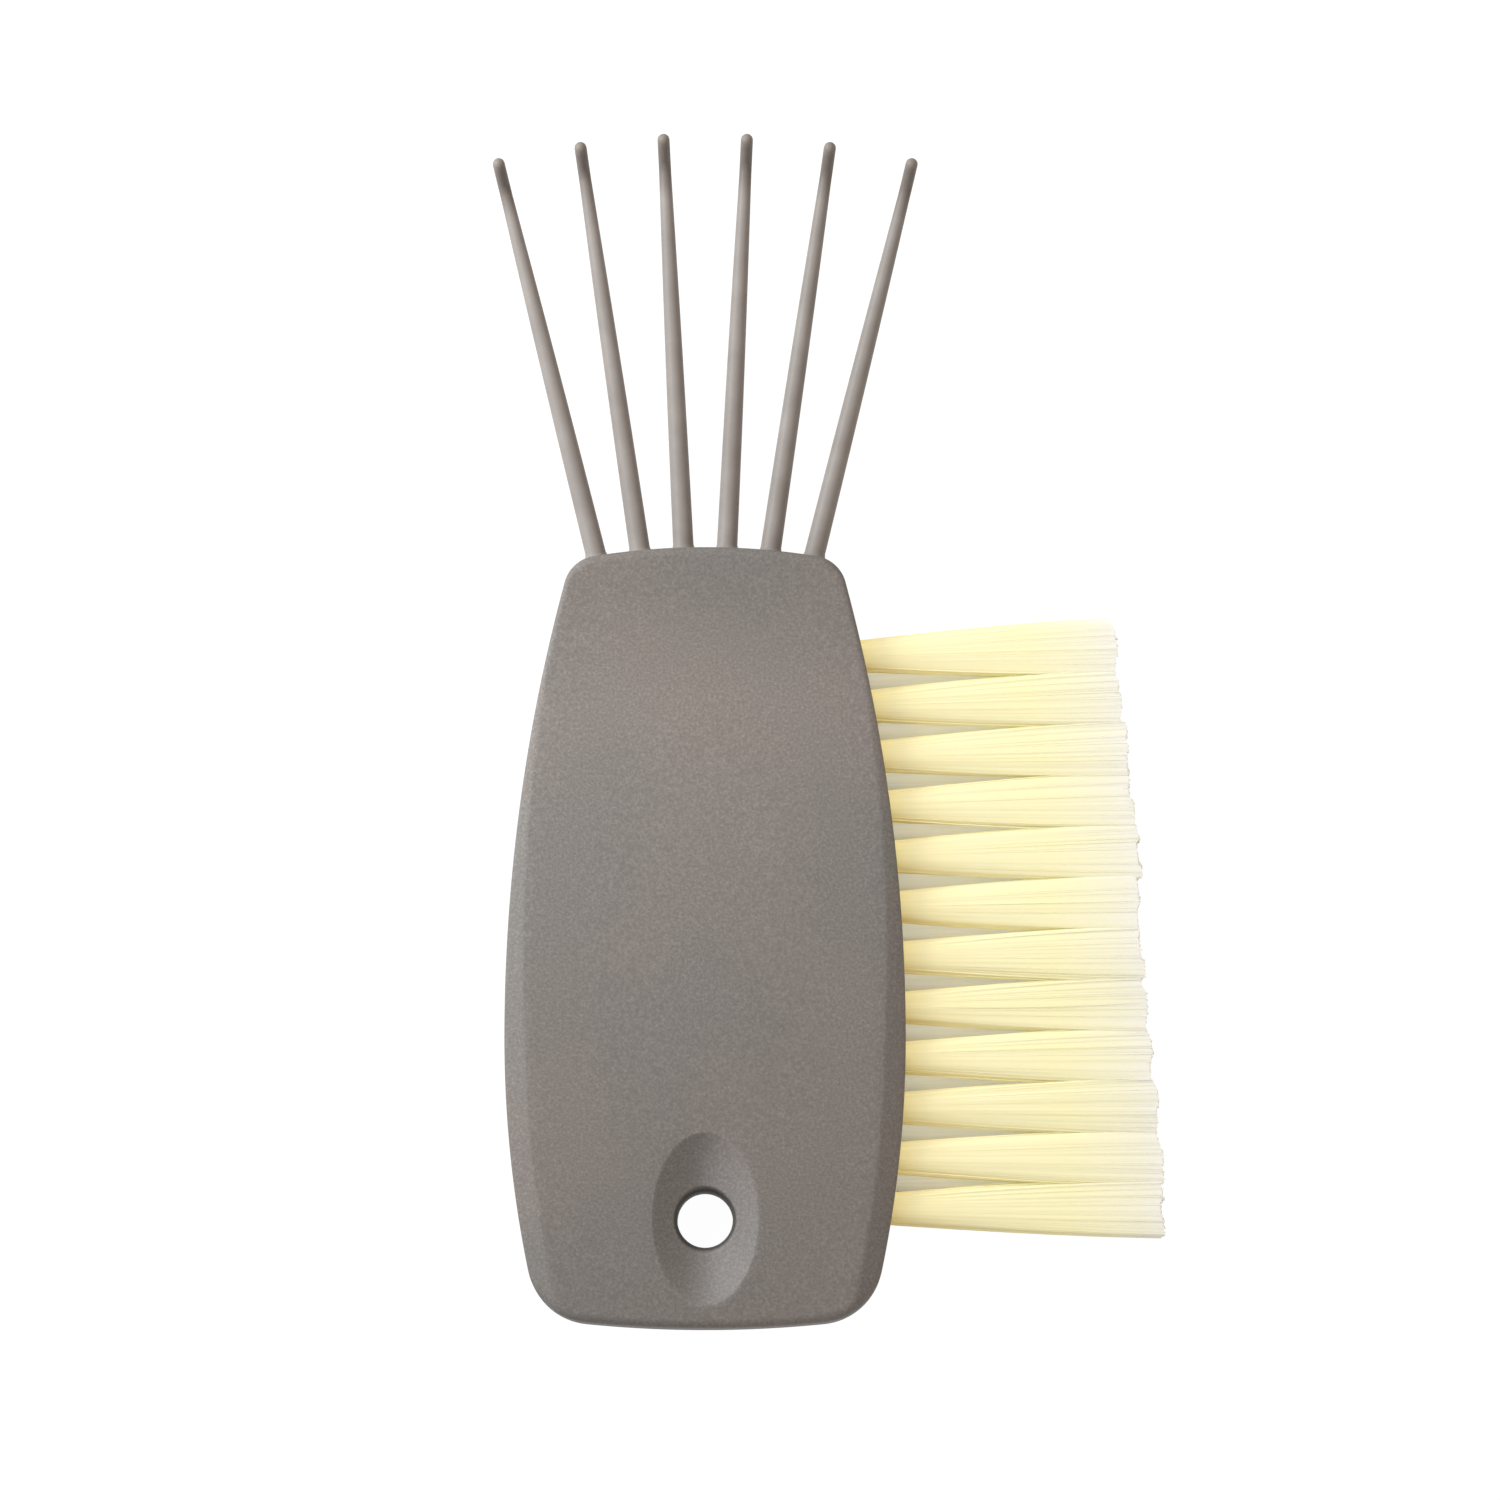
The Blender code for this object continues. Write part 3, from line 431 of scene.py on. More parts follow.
# Moulded face: a low dome, a bevel along each side, and the scoop round the hole


def bevel_width(y):
    """Width of the side bevels, which grow from the handle's top down."""
    grown = (BEVEL_STARTS_Y - np.asarray(y)) / (BEVEL_STARTS_Y - BEVEL_FULL_Y)
    return lerp(BEVEL_WIDTH_AT_TOP, BEVEL_WIDTH, np.clip(grown, 0, 1))


def face_height(x, y):
    """Level of the front face, before its outer edge is rounded."""
    across = x / side_x(y)
    dome = FACE_DOME * np.clip(1 - across**2, 0, None) * (1 - (y / TOP_Y) ** 2)
    inset = (side_x(y) - np.abs(x)) * side_lean(y)
    bevel = FACE_EDGE_Z + BEVEL_SLOPE * (inset - bevel_width(y))
    face = FACE_EDGE_Z + dome
    return (bevel + face - np.sqrt((bevel - face) ** 2 + CREASE_SOFTNESS**2)) / 2


def scoop_depth(x, y):
    """Depth of the scoop: two flanks that meet in a soft keel, as the hull of a boat leaves in sand."""
    half_width_squared = SCOOP_HALF_WIDTH**2 * (1 - ((y - HOLE_Y) / SCOOP_HALF_LENGTH) ** 2)
    depth = np.sqrt(np.clip(half_width_squared + SCOOP_KEEL**2, 0, None)) - np.hypot(x, SCOOP_KEEL)
    depth *= SCOOP_SLOPE
    return (depth + np.hypot(depth, SCOOP_EDGE_SOFTNESS)) / 2


def on_face(ring):
    """Ring laid on the front face."""
    return np.column_stack((ring[:, :2], face_height(ring[:, 0], ring[:, 1])))


def in_scoop(ring):
    """Ring laid on the front face and sunk into the scoop."""
    ring = on_face(ring)
    ring[:, 2] -= scoop_depth(ring[:, 0], ring[:, 1])
    return ring


def front_face_rings():
    """Rings from the hole out to the top of the wall."""
    endness = smooth_step(np.abs(OUTWARDS[:, 1]), SIDES_UP_TO, ENDS_BEGIN_AT)
    rounding = lerp(SIDE_ROUNDING, END_ROUNDING, endness)
    nearest = rounding + EDGE_MARGIN
    crease = lerp(np.maximum(bevel_width(PLACES[:, 1]), nearest), nearest, endness)
    inner = on_face(ring_at(crease + EDGE_MARGIN, 0))
    scoop_edge = oval_ring(SCOOP_HALF_WIDTH, SCOOP_HALF_LENGTH, 0, inner)
    floor_edge = in_scoop(oval_ring(RIM_HALF_WIDTH, RIM_HALF_LENGTH, 0, inner))
    throat = oval_ring(HOLE_RADIUS, HOLE_RADIUS, FRONT_RIM_Z + RIM_CHAMFER, inner)
    rings = [throat]
    for share, drop in THROAT_PROFILE:
        rings.append(lerp(throat, floor_edge, share))
        rings[-1][:, 2] = floor_edge[:, 2] - drop
    for share in SCOOP_SHARES:
        rings.append(in_scoop(lerp(floor_edge, scoop_edge, share)))
    outer_scoop = rings[-1]
    for share in np.linspace(0, 1, FACE_STEPS + 1)[1:]:
        rings.append(on_face(lerp(outer_scoop, inner, share)))
    for step in CREASE_STEPS:
        rings.append(on_face(ring_at(crease + step, 0)))
    for share in BEVEL_SHARES:
        rings.append(on_face(ring_at(lerp(rounding, crease + CREASE_STEPS[-1], share), 0)))
    for angle in ROUNDING_ANGLES:
        ring = on_face(ring_at(rounding * (1 - math.sin(angle)), 0))
        ring[:, 2] -= rounding * (1 - math.cos(angle))
        rings.append(ring)
    return rings


def back_face_rings():
    """Rings from the hole out to the foot of the wall: countersink, flat back, rounded edge."""
    inner = ring_at(BACK_EDGE_RADIUS + EDGE_MARGIN, 0)
    rings = [oval_ring(HOLE_RADIUS, HOLE_RADIUS, BACK_RIM_Z - RIM_CHAMFER, inner)]
    for wider, z in COUNTERSINK_PROFILE:
        rings.append(oval_ring(HOLE_RADIUS + wider, HOLE_RADIUS + wider, z, inner))
    start = rings[-1]
    for share in np.linspace(0, 1, BACK_STEPS + 1)[1:]:
        rings.append(lerp(start, inner, share))
    for angle in ROUNDING_ANGLES:
        inset = BACK_EDGE_RADIUS * (1 - math.sin(angle))
        rings.append(ring_at(inset, BACK_EDGE_RADIUS * (1 - math.cos(angle))))
    return rings


def wall_rings(rim_z, inner_z):
    """Rings down the wall and back up inside it. At the window they lie on the open lip instead."""
    towards = math.copysign(1, rim_z - inner_z)
    near_rim = rim_z - towards * RIM_CHAMFER
    rings = [ring_at(0, inner_z - towards * LIP_CHAMFER)]
    stations = (
        (0, inner_z),
        (0, (inner_z + near_rim) / 2),
        (0, near_rim),
        (RIM_CHAMFER, rim_z),
        (WALL - RIM_CHAMFER, rim_z),
        (WALL, near_rim),
        (WALL, inner_z),
    )
    for (inset, z), lip_inset in zip(stations, (LIP_CHAMFER, *LIP_INSETS, WALL)):
        rings.append(ring_at(np.where(IN_WINDOW, lip_inset, inset), np.where(IN_WINDOW, inner_z, z)))
    return rings


def tube_rings(inner_ring, rim_z, inner_z, foot_width, foot_length):
    """Rings along the inside of the face and up the tube round the hole."""
    towards = math.copysign(1, rim_z - inner_z)
    foot = oval_ring(foot_width, foot_length, inner_z, inner_ring)
    return [
        lerp(inner_ring, foot, 0.5),
        foot,
        oval_ring(TUBE_RADIUS, TUBE_RADIUS, inner_z + towards * TUBE_NECK, inner_ring),
        oval_ring(TUBE_RADIUS, TUBE_RADIUS, rim_z, inner_ring),
        oval_ring(HOLE_RADIUS + RIM_CHAMFER, HOLE_RADIUS + RIM_CHAMFER, rim_z, inner_ring),
    ]


# Rake


def tine_direction(index):
    angle = (index - (TINE_COUNT - 1) / 2) * TINE_FAN_STEP
    return Vector((math.sin(angle), math.cos(angle), 0))


def distance_to_top_edge(start, direction):
    """Distance from a point to the handle's top wall, along a tine."""
    offset = start.xy - Vector((0, TOP_Y - TOP_EDGE_RADIUS))
    along = offset.dot(direction.xy)
    return -along + math.sqrt(along**2 - offset.length_squared + TOP_EDGE_RADIUS**2)


def tine_section(centre, heading, radius):
    """Ring of points square to a tine's heading."""
    level = Vector((heading.y, -heading.x, 0)).normalized()
    upright = level.cross(heading).normalized()
    turn = 2 * math.pi / TINE_SIDES
    return [
        centre + level * radius * math.cos(i * turn) + upright * radius * math.sin(i * turn)
        for i in range(TINE_SIDES)
    ]


def tine_passages():
    """Cutters for the round passages of the tines through the top wall."""
    shape = bmesh.new()
    for index in range(TINE_COUNT):
        outward = tine_direction(index)
        edge = distance_to_top_edge(FAN_CENTRE, outward)
        ends = []
        for at in (edge - PASSAGE_INSIDE, edge + PASSAGE_OUTSIDE):
            section = tine_section(FAN_CENTRE + outward * at, outward, TINE_ROOT_RADIUS + PASSAGE_GAP)
            ends.append([shape.verts.new(point) for point in section])
        for i in range(TINE_SIDES):
            j = (i + 1) % TINE_SIDES
            shape.faces.new((ends[0][i], ends[0][j], ends[1][j], ends[1][i]))
        shape.faces.new(ends[0])
        shape.faces.new(ends[1])
    mesh = bpy.data.meshes.new("tine_passages")
    bmesh.ops.recalc_face_normals(shape, faces=shape.faces)
    shape.to_mesh(mesh)
    shape.free()
    return mesh


def combined(mesh, operation, tool_meshes):
    """Mesh joined with other meshes, or cut by them."""
    body = bpy.data.objects.new("boolean_body", mesh)
    bpy.context.scene.collection.objects.link(body)
    tools = []
    for tool_mesh in tool_meshes:
        tool = bpy.data.objects.new("boolean_tool", tool_mesh)
        bpy.context.scene.collection.objects.link(tool)
        step = body.modifiers.new("boolean", "BOOLEAN")
        step.operation = operation
        step.solver = "EXACT"
        step.object = tool
        tools.append(tool)
    bpy.context.view_layer.update()
    result = bpy.data.meshes.new_from_object(body.evaluated_get(bpy.context.evaluated_depsgraph_get()))
    for thing in [body] + tools:
        bpy.data.objects.remove(thing, do_unlink=True)
    return result


def tine_rings(index):
    """Tapered tine: root in the bar, small flare against the wall, straight run, hook, round end."""
    outward = tine_direction(index)
    up = Vector((0, 0, 1))
    edge = distance_to_top_edge(FAN_CENTRE, outward)
    end_reach = TINE_HOOK_END * math.cos(TINE_HOOK_TURN) + TINE_TIP_RADIUS
    hook_reach = TINE_HOOK_RADIUS * math.sin(TINE_HOOK_TURN) + end_reach
    hook_start = TINE_REACH - hook_reach
    run_start = edge + TINE_FLARE[-1][0]
    root = FAN_CENTRE + outward * (edge - TINE_ROOT_LENGTH)
    rings = [tine_section(root, outward, TINE_ROOT_RADIUS)]
    for ahead, wider in TINE_FLARE:
        section = tine_section(FAN_CENTRE, outward, TINE_ROOT_RADIUS + wider)
        rings.append([p + outward * (distance_to_top_edge(p, outward) + ahead) for p in section])
    for i in range(1, TINE_STEPS + 1):
        share = i / TINE_STEPS
        at = lerp(run_start, hook_start, share)
        radius = lerp(TINE_ROOT_RADIUS, TINE_TIP_RADIUS, share) + TINE_BELLY * math.sin(math.pi * share)
        rings.append(tine_section(FAN_CENTRE + outward * at, outward, radius))
    hook_centre = FAN_CENTRE + outward * hook_start + up * TINE_HOOK_RADIUS
    for i in range(1, HOOK_STEPS + 1):
        angle = TINE_HOOK_TURN * i / HOOK_STEPS
        heading = outward * math.cos(angle) + up * math.sin(angle)
        centre = hook_centre + (outward * math.sin(angle) - up * math.cos(angle)) * TINE_HOOK_RADIUS
        rings.append(tine_section(centre, heading, TINE_TIP_RADIUS))
    centre += heading * TINE_HOOK_END
    rings.append(tine_section(centre, heading, TINE_TIP_RADIUS))
    for angle in TINE_END_ANGLES:
        end = centre + heading * TINE_TIP_RADIUS * math.sin(angle)
        rings.append(tine_section(end, heading, TINE_TIP_RADIUS * math.cos(angle)))
    return rings


def bar_rings():
    """Bar that holds the tines, inside the handle's top."""
    inset = WALL + FIT
    inside = PLACES - OUTWARDS * inset
    above = inside[inside[:, 1] > BAR_EDGE_Y + BAR_CORNER_MARGIN]
    above = np.concatenate((above[above[:, 0] < 0], above[above[:, 0] >= 0]))
    corner = side_x(BAR_EDGE_Y) - inset / side_lean(BAR_EDGE_Y)
    outline = np.concatenate((above, [(corner, BAR_EDGE_Y), (-corner, BAR_EDGE_Y)]))
    return [
        np.column_stack((outline, np.full(len(outline), MIDDLE_Z + side * BAR_THICKNESS / 2)))
        for side in (-1, 1)
    ]


# Bristles


def tuft_places():
    """Name, place of the mouth with X along the bristles, free length and open side of every tuft."""
    tufts = []
    rows = (
        ("upper_tuft", TUFT_COUNT, 0.0, 1, 0),
        ("lower_tuft", TUFT_COUNT - 1, 0.5, -1, REAR_CUT_SHORT),
    )
    first_y = (WINDOW_TOP_Y + WINDOW_BOTTOM_Y + (TUFT_COUNT - 1) * TUFT_PITCH) / 2
    for name, count, offset, side, shorter in rows:
        for i in range(count):
            y = first_y - (i + offset) * TUFT_PITCH
            turn = lerp(FAN_AT_TOP, FAN_AT_BOTTOM, (i + offset) / (TUFT_COUNT - 1))
            mouth_x = float(side_x(y) - BLOCK_RECESS / side_lean(y))
            mouth = Vector((mouth_x, y, MIDDLE_Z + side * ROW_SPACING / 2))
            heading = Matrix.Rotation(turn, 4, "Z") @ Matrix.Rotation(-ROW_TILT * side, 4, "Y")
            trim_x = TRIM_AT_TOP_X + (WINDOW_TOP_Y - y) * TRIM_SLOPE - shorter
            length = (trim_x - mouth.x) / (math.cos(turn) * math.cos(ROW_TILT))
            open_side = (i == 0) - (i == count - 1)
            tufts.append((f"{name}_{i + 1:02d}", Matrix.Translation(mouth) @ heading, length, open_side))
    return tufts


def disc_to_cell(u, v):
    """Stretch a unit disc evenly over a unit square."""
    side = u * u - v * v
    diagonal = 2 * math.sqrt(2)
    right = np.sqrt(np.clip(2 + side + diagonal * u, 0, None))
    left = np.sqrt(np.clip(2 + side - diagonal * u, 0, None))
    over = np.sqrt(np.clip(2 - side + diagonal * v, 0, None))
    under = np.sqrt(np.clip(2 - side - diagonal * v, 0, None))
    return (right - left) / 2, (over - under) / 2


def opening(stations):
    """How far a tuft has opened: fast out of its hole, then ever slower up to its ends."""
    return 1 - np.clip(1 - stations, 0, 1) ** OPENING_POWER


def opened(u, v, stations):
    """Where the filament at u, v of the round root lies across the tuft, at shares of its length."""
    share = opening(stations)
    cell_u, cell_v = disc_to_cell(u, v)
    tip_y = TUFT_END_HALF_WIDTH * lerp(u, cell_u, SQUARENESS)
    tip_z = TUFT_END_HALF_HEIGHT * lerp(v, cell_v, SQUARENESS)
    return lerp(TUFT_ROOT_RADIUS * u, tip_y, share), lerp(TUFT_ROOT_RADIUS * v, tip_z, share)


def sheet_normals(u, v, stations):
    """Directions that shade a tuft as one soft mass: round at its root, a flat sheet further out."""
    share = opening(stations)
    on_sheet = smooth_step(np.abs(v), SIDE_FACES_UP_TO, SHEET_FACES_FROM)
    across = u * (1 - on_sheet * lerp(ROOT_FLATNESS, SHEET_FLATNESS, share))
    upright = lerp(v, lerp(SIDE_FACES_LIFT, np.sign(v), on_sheet), share)
    upright = np.where(stations >= ENDS_FROM, np.abs(upright), upright)
    return np.stack(np.broadcast_arrays(0.0, across, upright), axis=-1)


def cut_drop(u, z, phases):
    """How much shorter the filaments are cut here: in clumps, on the shoulders and further down."""
    waves = [np.sin(CLUMPS * (i + 1) * u + phase) / (i + 1) for i, phase in enumerate(phases)]
    clumps = CLUMP_CUT * np.tanh(CLUMP_EDGE * sum(waves))
    shoulders = SHOULDER_DROP * np.abs(u) ** SHOULDER_POWER
    return clumps + shoulders + CUT_LEAN * (TUFT_END_HALF_HEIGHT - z)


def core_strip(length, phases, draws):
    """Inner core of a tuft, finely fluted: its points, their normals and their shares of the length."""
    angles = 2 * math.pi * np.arange(CORE_SIDES) / CORE_SIDES
    u = np.cos(angles)[None]
    v = np.sin(angles)[None]
    stations = np.array((-TUFT_ROOT_DEPTH / length, *CORE_STATIONS))[:, None]
    y, z = opened(u, v, stations)
    scale = np.where(stations == 1, CORE_END_SCALE, 1)
    flute = CORE_FLUTE_DEPTH * draws.uniform(0, 1, CORE_SIDES)[None] * np.clip(stations, 0, 1)
    y = scale * y - flute * u
    z = scale * z - flute * v
    x = (length - cut_drop(u, z, phases) - CORE_END_SHORT - y * TRIM_SLOPE) * stations
    points = np.stack((x, y, z), axis=-1)
    return points, sheet_normals(u, v, stations), np.broadcast_to(stations, x.shape)


def filament_strips(length, u, v, stations, radius, phases, draws):
    """Filaments through these places of the root. Gives the same three arrays as core_strip."""
    count = len(u)
    stations = np.array(stations)[None]
    free = np.clip(stations, 0, 1)
    y, z = opened(u, v, stations)
    stray = np.where(draws.uniform(0, 1, (count, 1)) < STRAY_SHARE, STRAY_BOW, 1)
    bow = BOW * stray * np.sin(math.pi * free)
    y = y + draws.normal(0, 1, (count, 1)) * bow + draws.normal(0, WANDER, (count, 1)) * free
    z = z + draws.normal(0, 1, (count, 1)) * bow + draws.normal(0, WANDER, (count, 1)) * free
    cut = draws.normal(0, CUT_SPREAD, (count, 1)) - draws.exponential(CUT_SHORT, (count, 1))
    cut = np.clip(cut, CUT_SHORTEST, CUT_LONGEST)
    x = (length - cut_drop(u, z, phases) + cut - y * TRIM_SLOPE) * stations
    turns = 2 * math.pi * np.arange(FILAMENT_SIDES) / FILAMENT_SIDES
    turns = turns + draws.uniform(0, math.pi, (count, 1))
    ring = np.stack((0 * turns, np.cos(turns), np.sin(turns)), axis=-1)[:, None]
    points = np.stack((x, y, z), axis=-1)[:, :, None] + radius * ring
    on_sheet = smooth_step(np.abs(v), SIDE_FACES_UP_TO, SHEET_FACES_FROM)
    outside = np.clip(np.hypot(u, v), 0, 1) ** OUTSIDE_POWER
    own_roundness = lerp(1, lerp(OWN_ROUNDNESS_AT_SIDES, OWN_ROUNDNESS, on_sheet), outside)
    sheet = sheet_normals(u, v, stations)[:, :, None]
    facing = lerp(sheet, ring, own_roundness[..., None, None])
    turned_under = ring[..., 2] * np.sign(sheet[..., 2]) < TURNED_UNDER
    facing[..., 2] = np.where(turned_under, -facing[..., 2], facing[..., 2])
    return points, facing, np.broadcast_to(stations[..., None], points.shape[:3])


def outside_filaments(length, count, phases, draws):
    """Filaments round the outside of a tuft, seen from root to end."""
    reach = draws.normal(OUTSIDE_REACH, OUTSIDE_REACH_SPREAD, (count, 1))
    angle = 2 * math.pi * (np.arange(count)[:, None] + draws.uniform(0, 1, (count, 1))) / count
    stations = (-TUFT_ROOT_DEPTH / length, *FILAMENT_STATIONS)
    places = (reach * np.cos(angle), reach * np.sin(angle))
    return filament_strips(length, *places, stations, FILAMENT_RADIUS, phases, draws)


def inside_ends(length, count, phases, draws):
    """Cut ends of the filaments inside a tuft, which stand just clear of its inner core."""
    golden_angle = math.pi * (3 - math.sqrt(5))
    order = np.arange(count)[:, None] + 0.5
    reach = CUT_ENDS_REACH * np.sqrt(order / count)
    angle = order * golden_angle
    places = (reach * np.cos(angle), reach * np.sin(angle))
    stations = (INSIDE_FROM, ENDS_FROM, 1.0)
    return filament_strips(length, *places, stations, CUT_END_RADIUS, phases, draws)


def tube_faces(count, levels, sides, first):
    """Faces of closed tubes whose rings are stored one after the other."""
    corner = np.arange(sides)
    following = (corner + 1) % sides
    faces = []
    for start in range(first, first + count * levels * sides, levels * sides):
        for near in range(start, start + (levels - 1) * sides, sides):
            far = near + sides
            quads = (near + corner, near + following, far + following, far + corner)
            faces += np.stack(quads, axis=1).tolist()
        faces.append((start + corner[::-1]).tolist())
        faces += end_faces(start + (levels - 1) * sides + corner)
    return faces


def end_faces(ring):
    """Flat end of a few sides, or rungs from side to side across a ring of many."""
    if len(ring) == FILAMENT_SIDES:
        return [ring.tolist()]
    half = len(ring) // 2
    over = ring[: half + 1]
    under = np.append(ring[0], ring[: half - 1 : -1])
    rungs = np.stack((over[:-1], over[1:], under[1:], under[:-1]), 1).tolist()
    return [list(dict.fromkeys(rung)) for rung in rungs]


def tuft_mesh(name, place, length, open_side, counts, draws):
    """Filaments packed in the round root that spread to fill the tuft's share of the row."""
    length += draws.normal(0, TUFT_CUT_SPREAD)
    phases = draws.uniform(0, 2 * math.pi, 3)
    outside = outside_filaments(length, counts[0], phases, draws)
    inside = inside_ends(length, counts[1], phases, draws)
    core = core_strip(length, phases, draws)
    faces = []
    tones = []
    first = 0
    for points, _, _ in (outside, inside):
        count, levels = points.shape[:2]
        faces += tube_faces(count, levels, FILAMENT_SIDES, first)
        first += points.size // 3
        tones.append(np.repeat(draws.uniform(0, 1, count), levels * FILAMENT_SIDES))
    faces += tube_faces(1, len(core[0]), CORE_SIDES, first)
    tones.append(np.tile(draws.uniform(CORE_TONE_FROM, 1, CORE_SIDES), len(core[0])))
    verts, normals = [
        np.concatenate([strip[i].reshape(-1, 3) for strip in (outside, inside, core)]) for i in (0, 1)
    ]
    normals[normals[:, 1] * open_side > OPEN_SIDE_FROM, 2] *= OPEN_SIDE_LIFT
    shares = np.concatenate([strip[2].ravel() for strip in (outside, inside, core)])
    # Painted shade: the depth attribute darkens and warms the sides that face -Y, away from the key light,
    # fading towards the ends
    below = np.clip(-normals[:, 1], 0, 1) ** LOWER_SHADE_POWER
    values = {
        "along": shares,
        "tone": np.concatenate(tones),
        "depth": below * (1 - LOWER_SHADE_FADE * np.clip(shares, 0, 1)),
    }
    turned = np.array(place.to_3x3())
    verts = verts @ turned.T + np.array(place.translation)
    mesh = bpy.data.meshes.new(name)
    mesh.from_pydata(verts.tolist(), [], faces)
    for attribute, numbers in values.items():
        layer = mesh.attributes.new(attribute, "FLOAT", "POINT")
        layer.data.foreach_set("value", numbers.astype(np.float32))
    mesh.shade_smooth()
    finish_faces(mesh, normals, shares, turned)
    return mesh


def finish_faces(mesh, normals, shares, turned):
    """Mark the cut ends of a tuft, and turn its normals with it; the cut ends face out along it."""
    corners = np.empty(len(mesh.loops), int)
    mesh.loops.foreach_get("vertex_index", corners)
    starts = np.empty(len(mesh.polygons), int)
    mesh.polygons.foreach_get("loop_start", starts)
    sizes = np.diff(np.append(starts, len(corners)))
    is_cut = np.minimum.reduceat(shares[corners], starts) == 1
    mesh.attributes.new("cut", "FLOAT", "FACE").data.foreach_set("value", is_cut.astype(np.float32))
    facing = np.where(np.repeat(is_cut, sizes)[:, None], CUT_DIRECTION, normals[corners]) @ turned.T
    facing /= np.linalg.norm(facing, axis=1)[:, None]
    mesh.normals_split_custom_set(facing.tolist())


# Materials


def linear(colour):
    """Colour given as 0 to 255 in a picture, as the shader's linear value."""
    return (*[((c / 255 + 0.055) / 1.055) ** 2.4 for c in colour], 1)


def new_material(name, roughness, specular=0.5, metallic=0.0):
    material = bpy.data.materials.new(name)
    material.use_nodes = True
    shader = material.node_tree.nodes["Principled BSDF"]
    shader.inputs["Roughness"].default_value = roughness
    shader.inputs["Specular IOR Level"].default_value = specular
    shader.inputs["Metallic"].default_value = metallic
    return material, material.node_tree, shader


def noise(tree, coordinates, scale, detail=2.0, roughness=0.5):
    node = tree.nodes.new("ShaderNodeTexNoise")
    node.inputs["Scale"].default_value = scale
    node.inputs["Detail"].default_value = detail
    node.inputs["Roughness"].default_value = roughness
    tree.links.new(coordinates, node.inputs["Vector"])
    return node.outputs["Fac"]


def ramp(tree, value, stops):
    """Colours along a value, as (place, picture colour) pairs."""
    node = tree.nodes.new("ShaderNodeValToRGB")
    points = node.color_ramp.elements
    while len(points) < len(stops):
        points.new(0.5)
    for point, (place, colour) in zip(points, stops):
        point.position = place
        point.color = linear(colour)
    tree.links.new(value, node.inputs["Fac"])
    return node.outputs["Color"]


def mixed(tree, first, second, factor=1.0, blend_type="MULTIPLY"):
    """Second colour laid over the first. Each of the three is a node's output or a constant."""
    node = tree.nodes.new("ShaderNodeMix")
    node.data_type = "RGBA"
    node.blend_type = blend_type
    for name, value in (("Factor", factor), ("A", first), ("B", second)):
        if isinstance(value, bpy.types.NodeSocket):
            tree.links.new(value, node.inputs[name])
        else:
            node.inputs[name].default_value = value
    return node.outputs["Result"]


def map_range(tree, value, low=0.0, high=1.0, to_low=0.0, to_high=1.0):
    node = tree.nodes.new("ShaderNodeMapRange")
    for name, number in zip(("From Min", "From Max", "To Min", "To Max"), (low, high, to_low, to_high)):
        node.inputs[name].default_value = number
    tree.links.new(value, node.inputs["Value"])
    return node.outputs["Result"]


def vector_math(tree, operation, value, *constants):
    """Vector node that works on one node's output and on these constant vectors."""
    node = tree.nodes.new("ShaderNodeVectorMath")
    node.operation = operation
    tree.links.new(value, node.inputs[0])
    for i, constant in enumerate(constants):
        node.inputs[i + 1].default_value = constant
    return node


def bumped(tree, shader, height, strength, distance):
    node = tree.nodes.new("ShaderNodeBump")
    node.inputs["Strength"].default_value = strength
    node.inputs["Distance"].default_value = distance
    tree.links.new(height, node.inputs["Height"])
    tree.links.new(node.outputs["Normal"], shader.inputs["Normal"])


def object_coordinates(tree):
    return tree.nodes.new("ShaderNodeTexCoord").outputs["Object"]


def handle_material(name, scoop_painted_light):
    """Matte spark-textured plastic: faint clouds of warm and cool taupe under a fine speckle."""
    material, tree, shader = new_material(name, roughness=0.62, specular=0.35)
    place = object_coordinates(tree)
    clouds = ramp(
        tree,
        noise(tree, place, scale=58, roughness=0.45),
        ((0.30, (142, 139, 136)), (0.50, (146, 140, 137)), (0.70, (151, 142, 138))),
    )
    # Painted light and shade along the handle: darker towards the bottom, lightest a little below the top,
    # a shade darker again at the top end
    ways = tree.nodes.new("ShaderNodeSeparateXYZ")
    tree.links.new(place, ways.inputs["Vector"])
    from_bottom = map_range(tree, ways.outputs["Y"], -TOP_Y, TOP_Y)
    levels = ((0.0, 226), (0.15, 231), (0.36, 237), (0.55, 244), (0.80, 253), (0.95, 234))
    painted_light_along = ramp(tree, from_bottom, [(at, (level,) * 3) for at, level in levels])
    # Painted light: the scoop keeps the full tone while the face round it is dimmed
    scoop = round_hole(
        tree, place, (SCOOP_HALF_WIDTH, SCOOP_HALF_LENGTH), ((OVAL_AT, scoop_painted_light), (0.74, FACE_TONE))
    )
    # Painted shade in the throat of the hanging hole and on its rim: darker inside the hole's radius,
    # fading out just past it
    painted_throat_shade = round_hole(
        tree,
        place,
        (HOLE_RADIUS, HOLE_RADIUS),
        ((OVAL_AT, (150, 150, 146)), (0.76, (160, 160, 156)), (0.80, (255, 255, 255))),
    )
    toned = mixed(tree, mixed(tree, mixed(tree, clouds, painted_light_along), scoop), painted_throat_shade)
    grain = noise(tree, place, scale=3600, detail=3, roughness=0.65)
    speckle = ramp(tree, grain, ((0.30, (80, 80, 80)), (0.50, (128, 128, 128)), (0.70, (176, 176, 176))))
    colour = mixed(tree, toned, speckle, factor=0.51, blend_type="OVERLAY")
    tree.links.new(colour, shader.inputs["Base Color"])
    bumped(tree, shader, noise(tree, place, scale=4200), strength=0.35, distance=0.00006)
    return material


def round_hole(tree, place, half_sizes, stops):
    """Shades outwards from the hole's middle; the oval of these half sizes lies at OVAL_AT."""
    scale = [OVAL_AT / half_size for half_size in half_sizes]
    shift = (0, -HOLE_Y * scale[1], 0)
    scaled = vector_math(tree, "MULTIPLY_ADD", place, (*scale, 0), shift).outputs["Vector"]
    return ramp(tree, vector_math(tree, "LENGTH", scaled).outputs["Value"], stops)


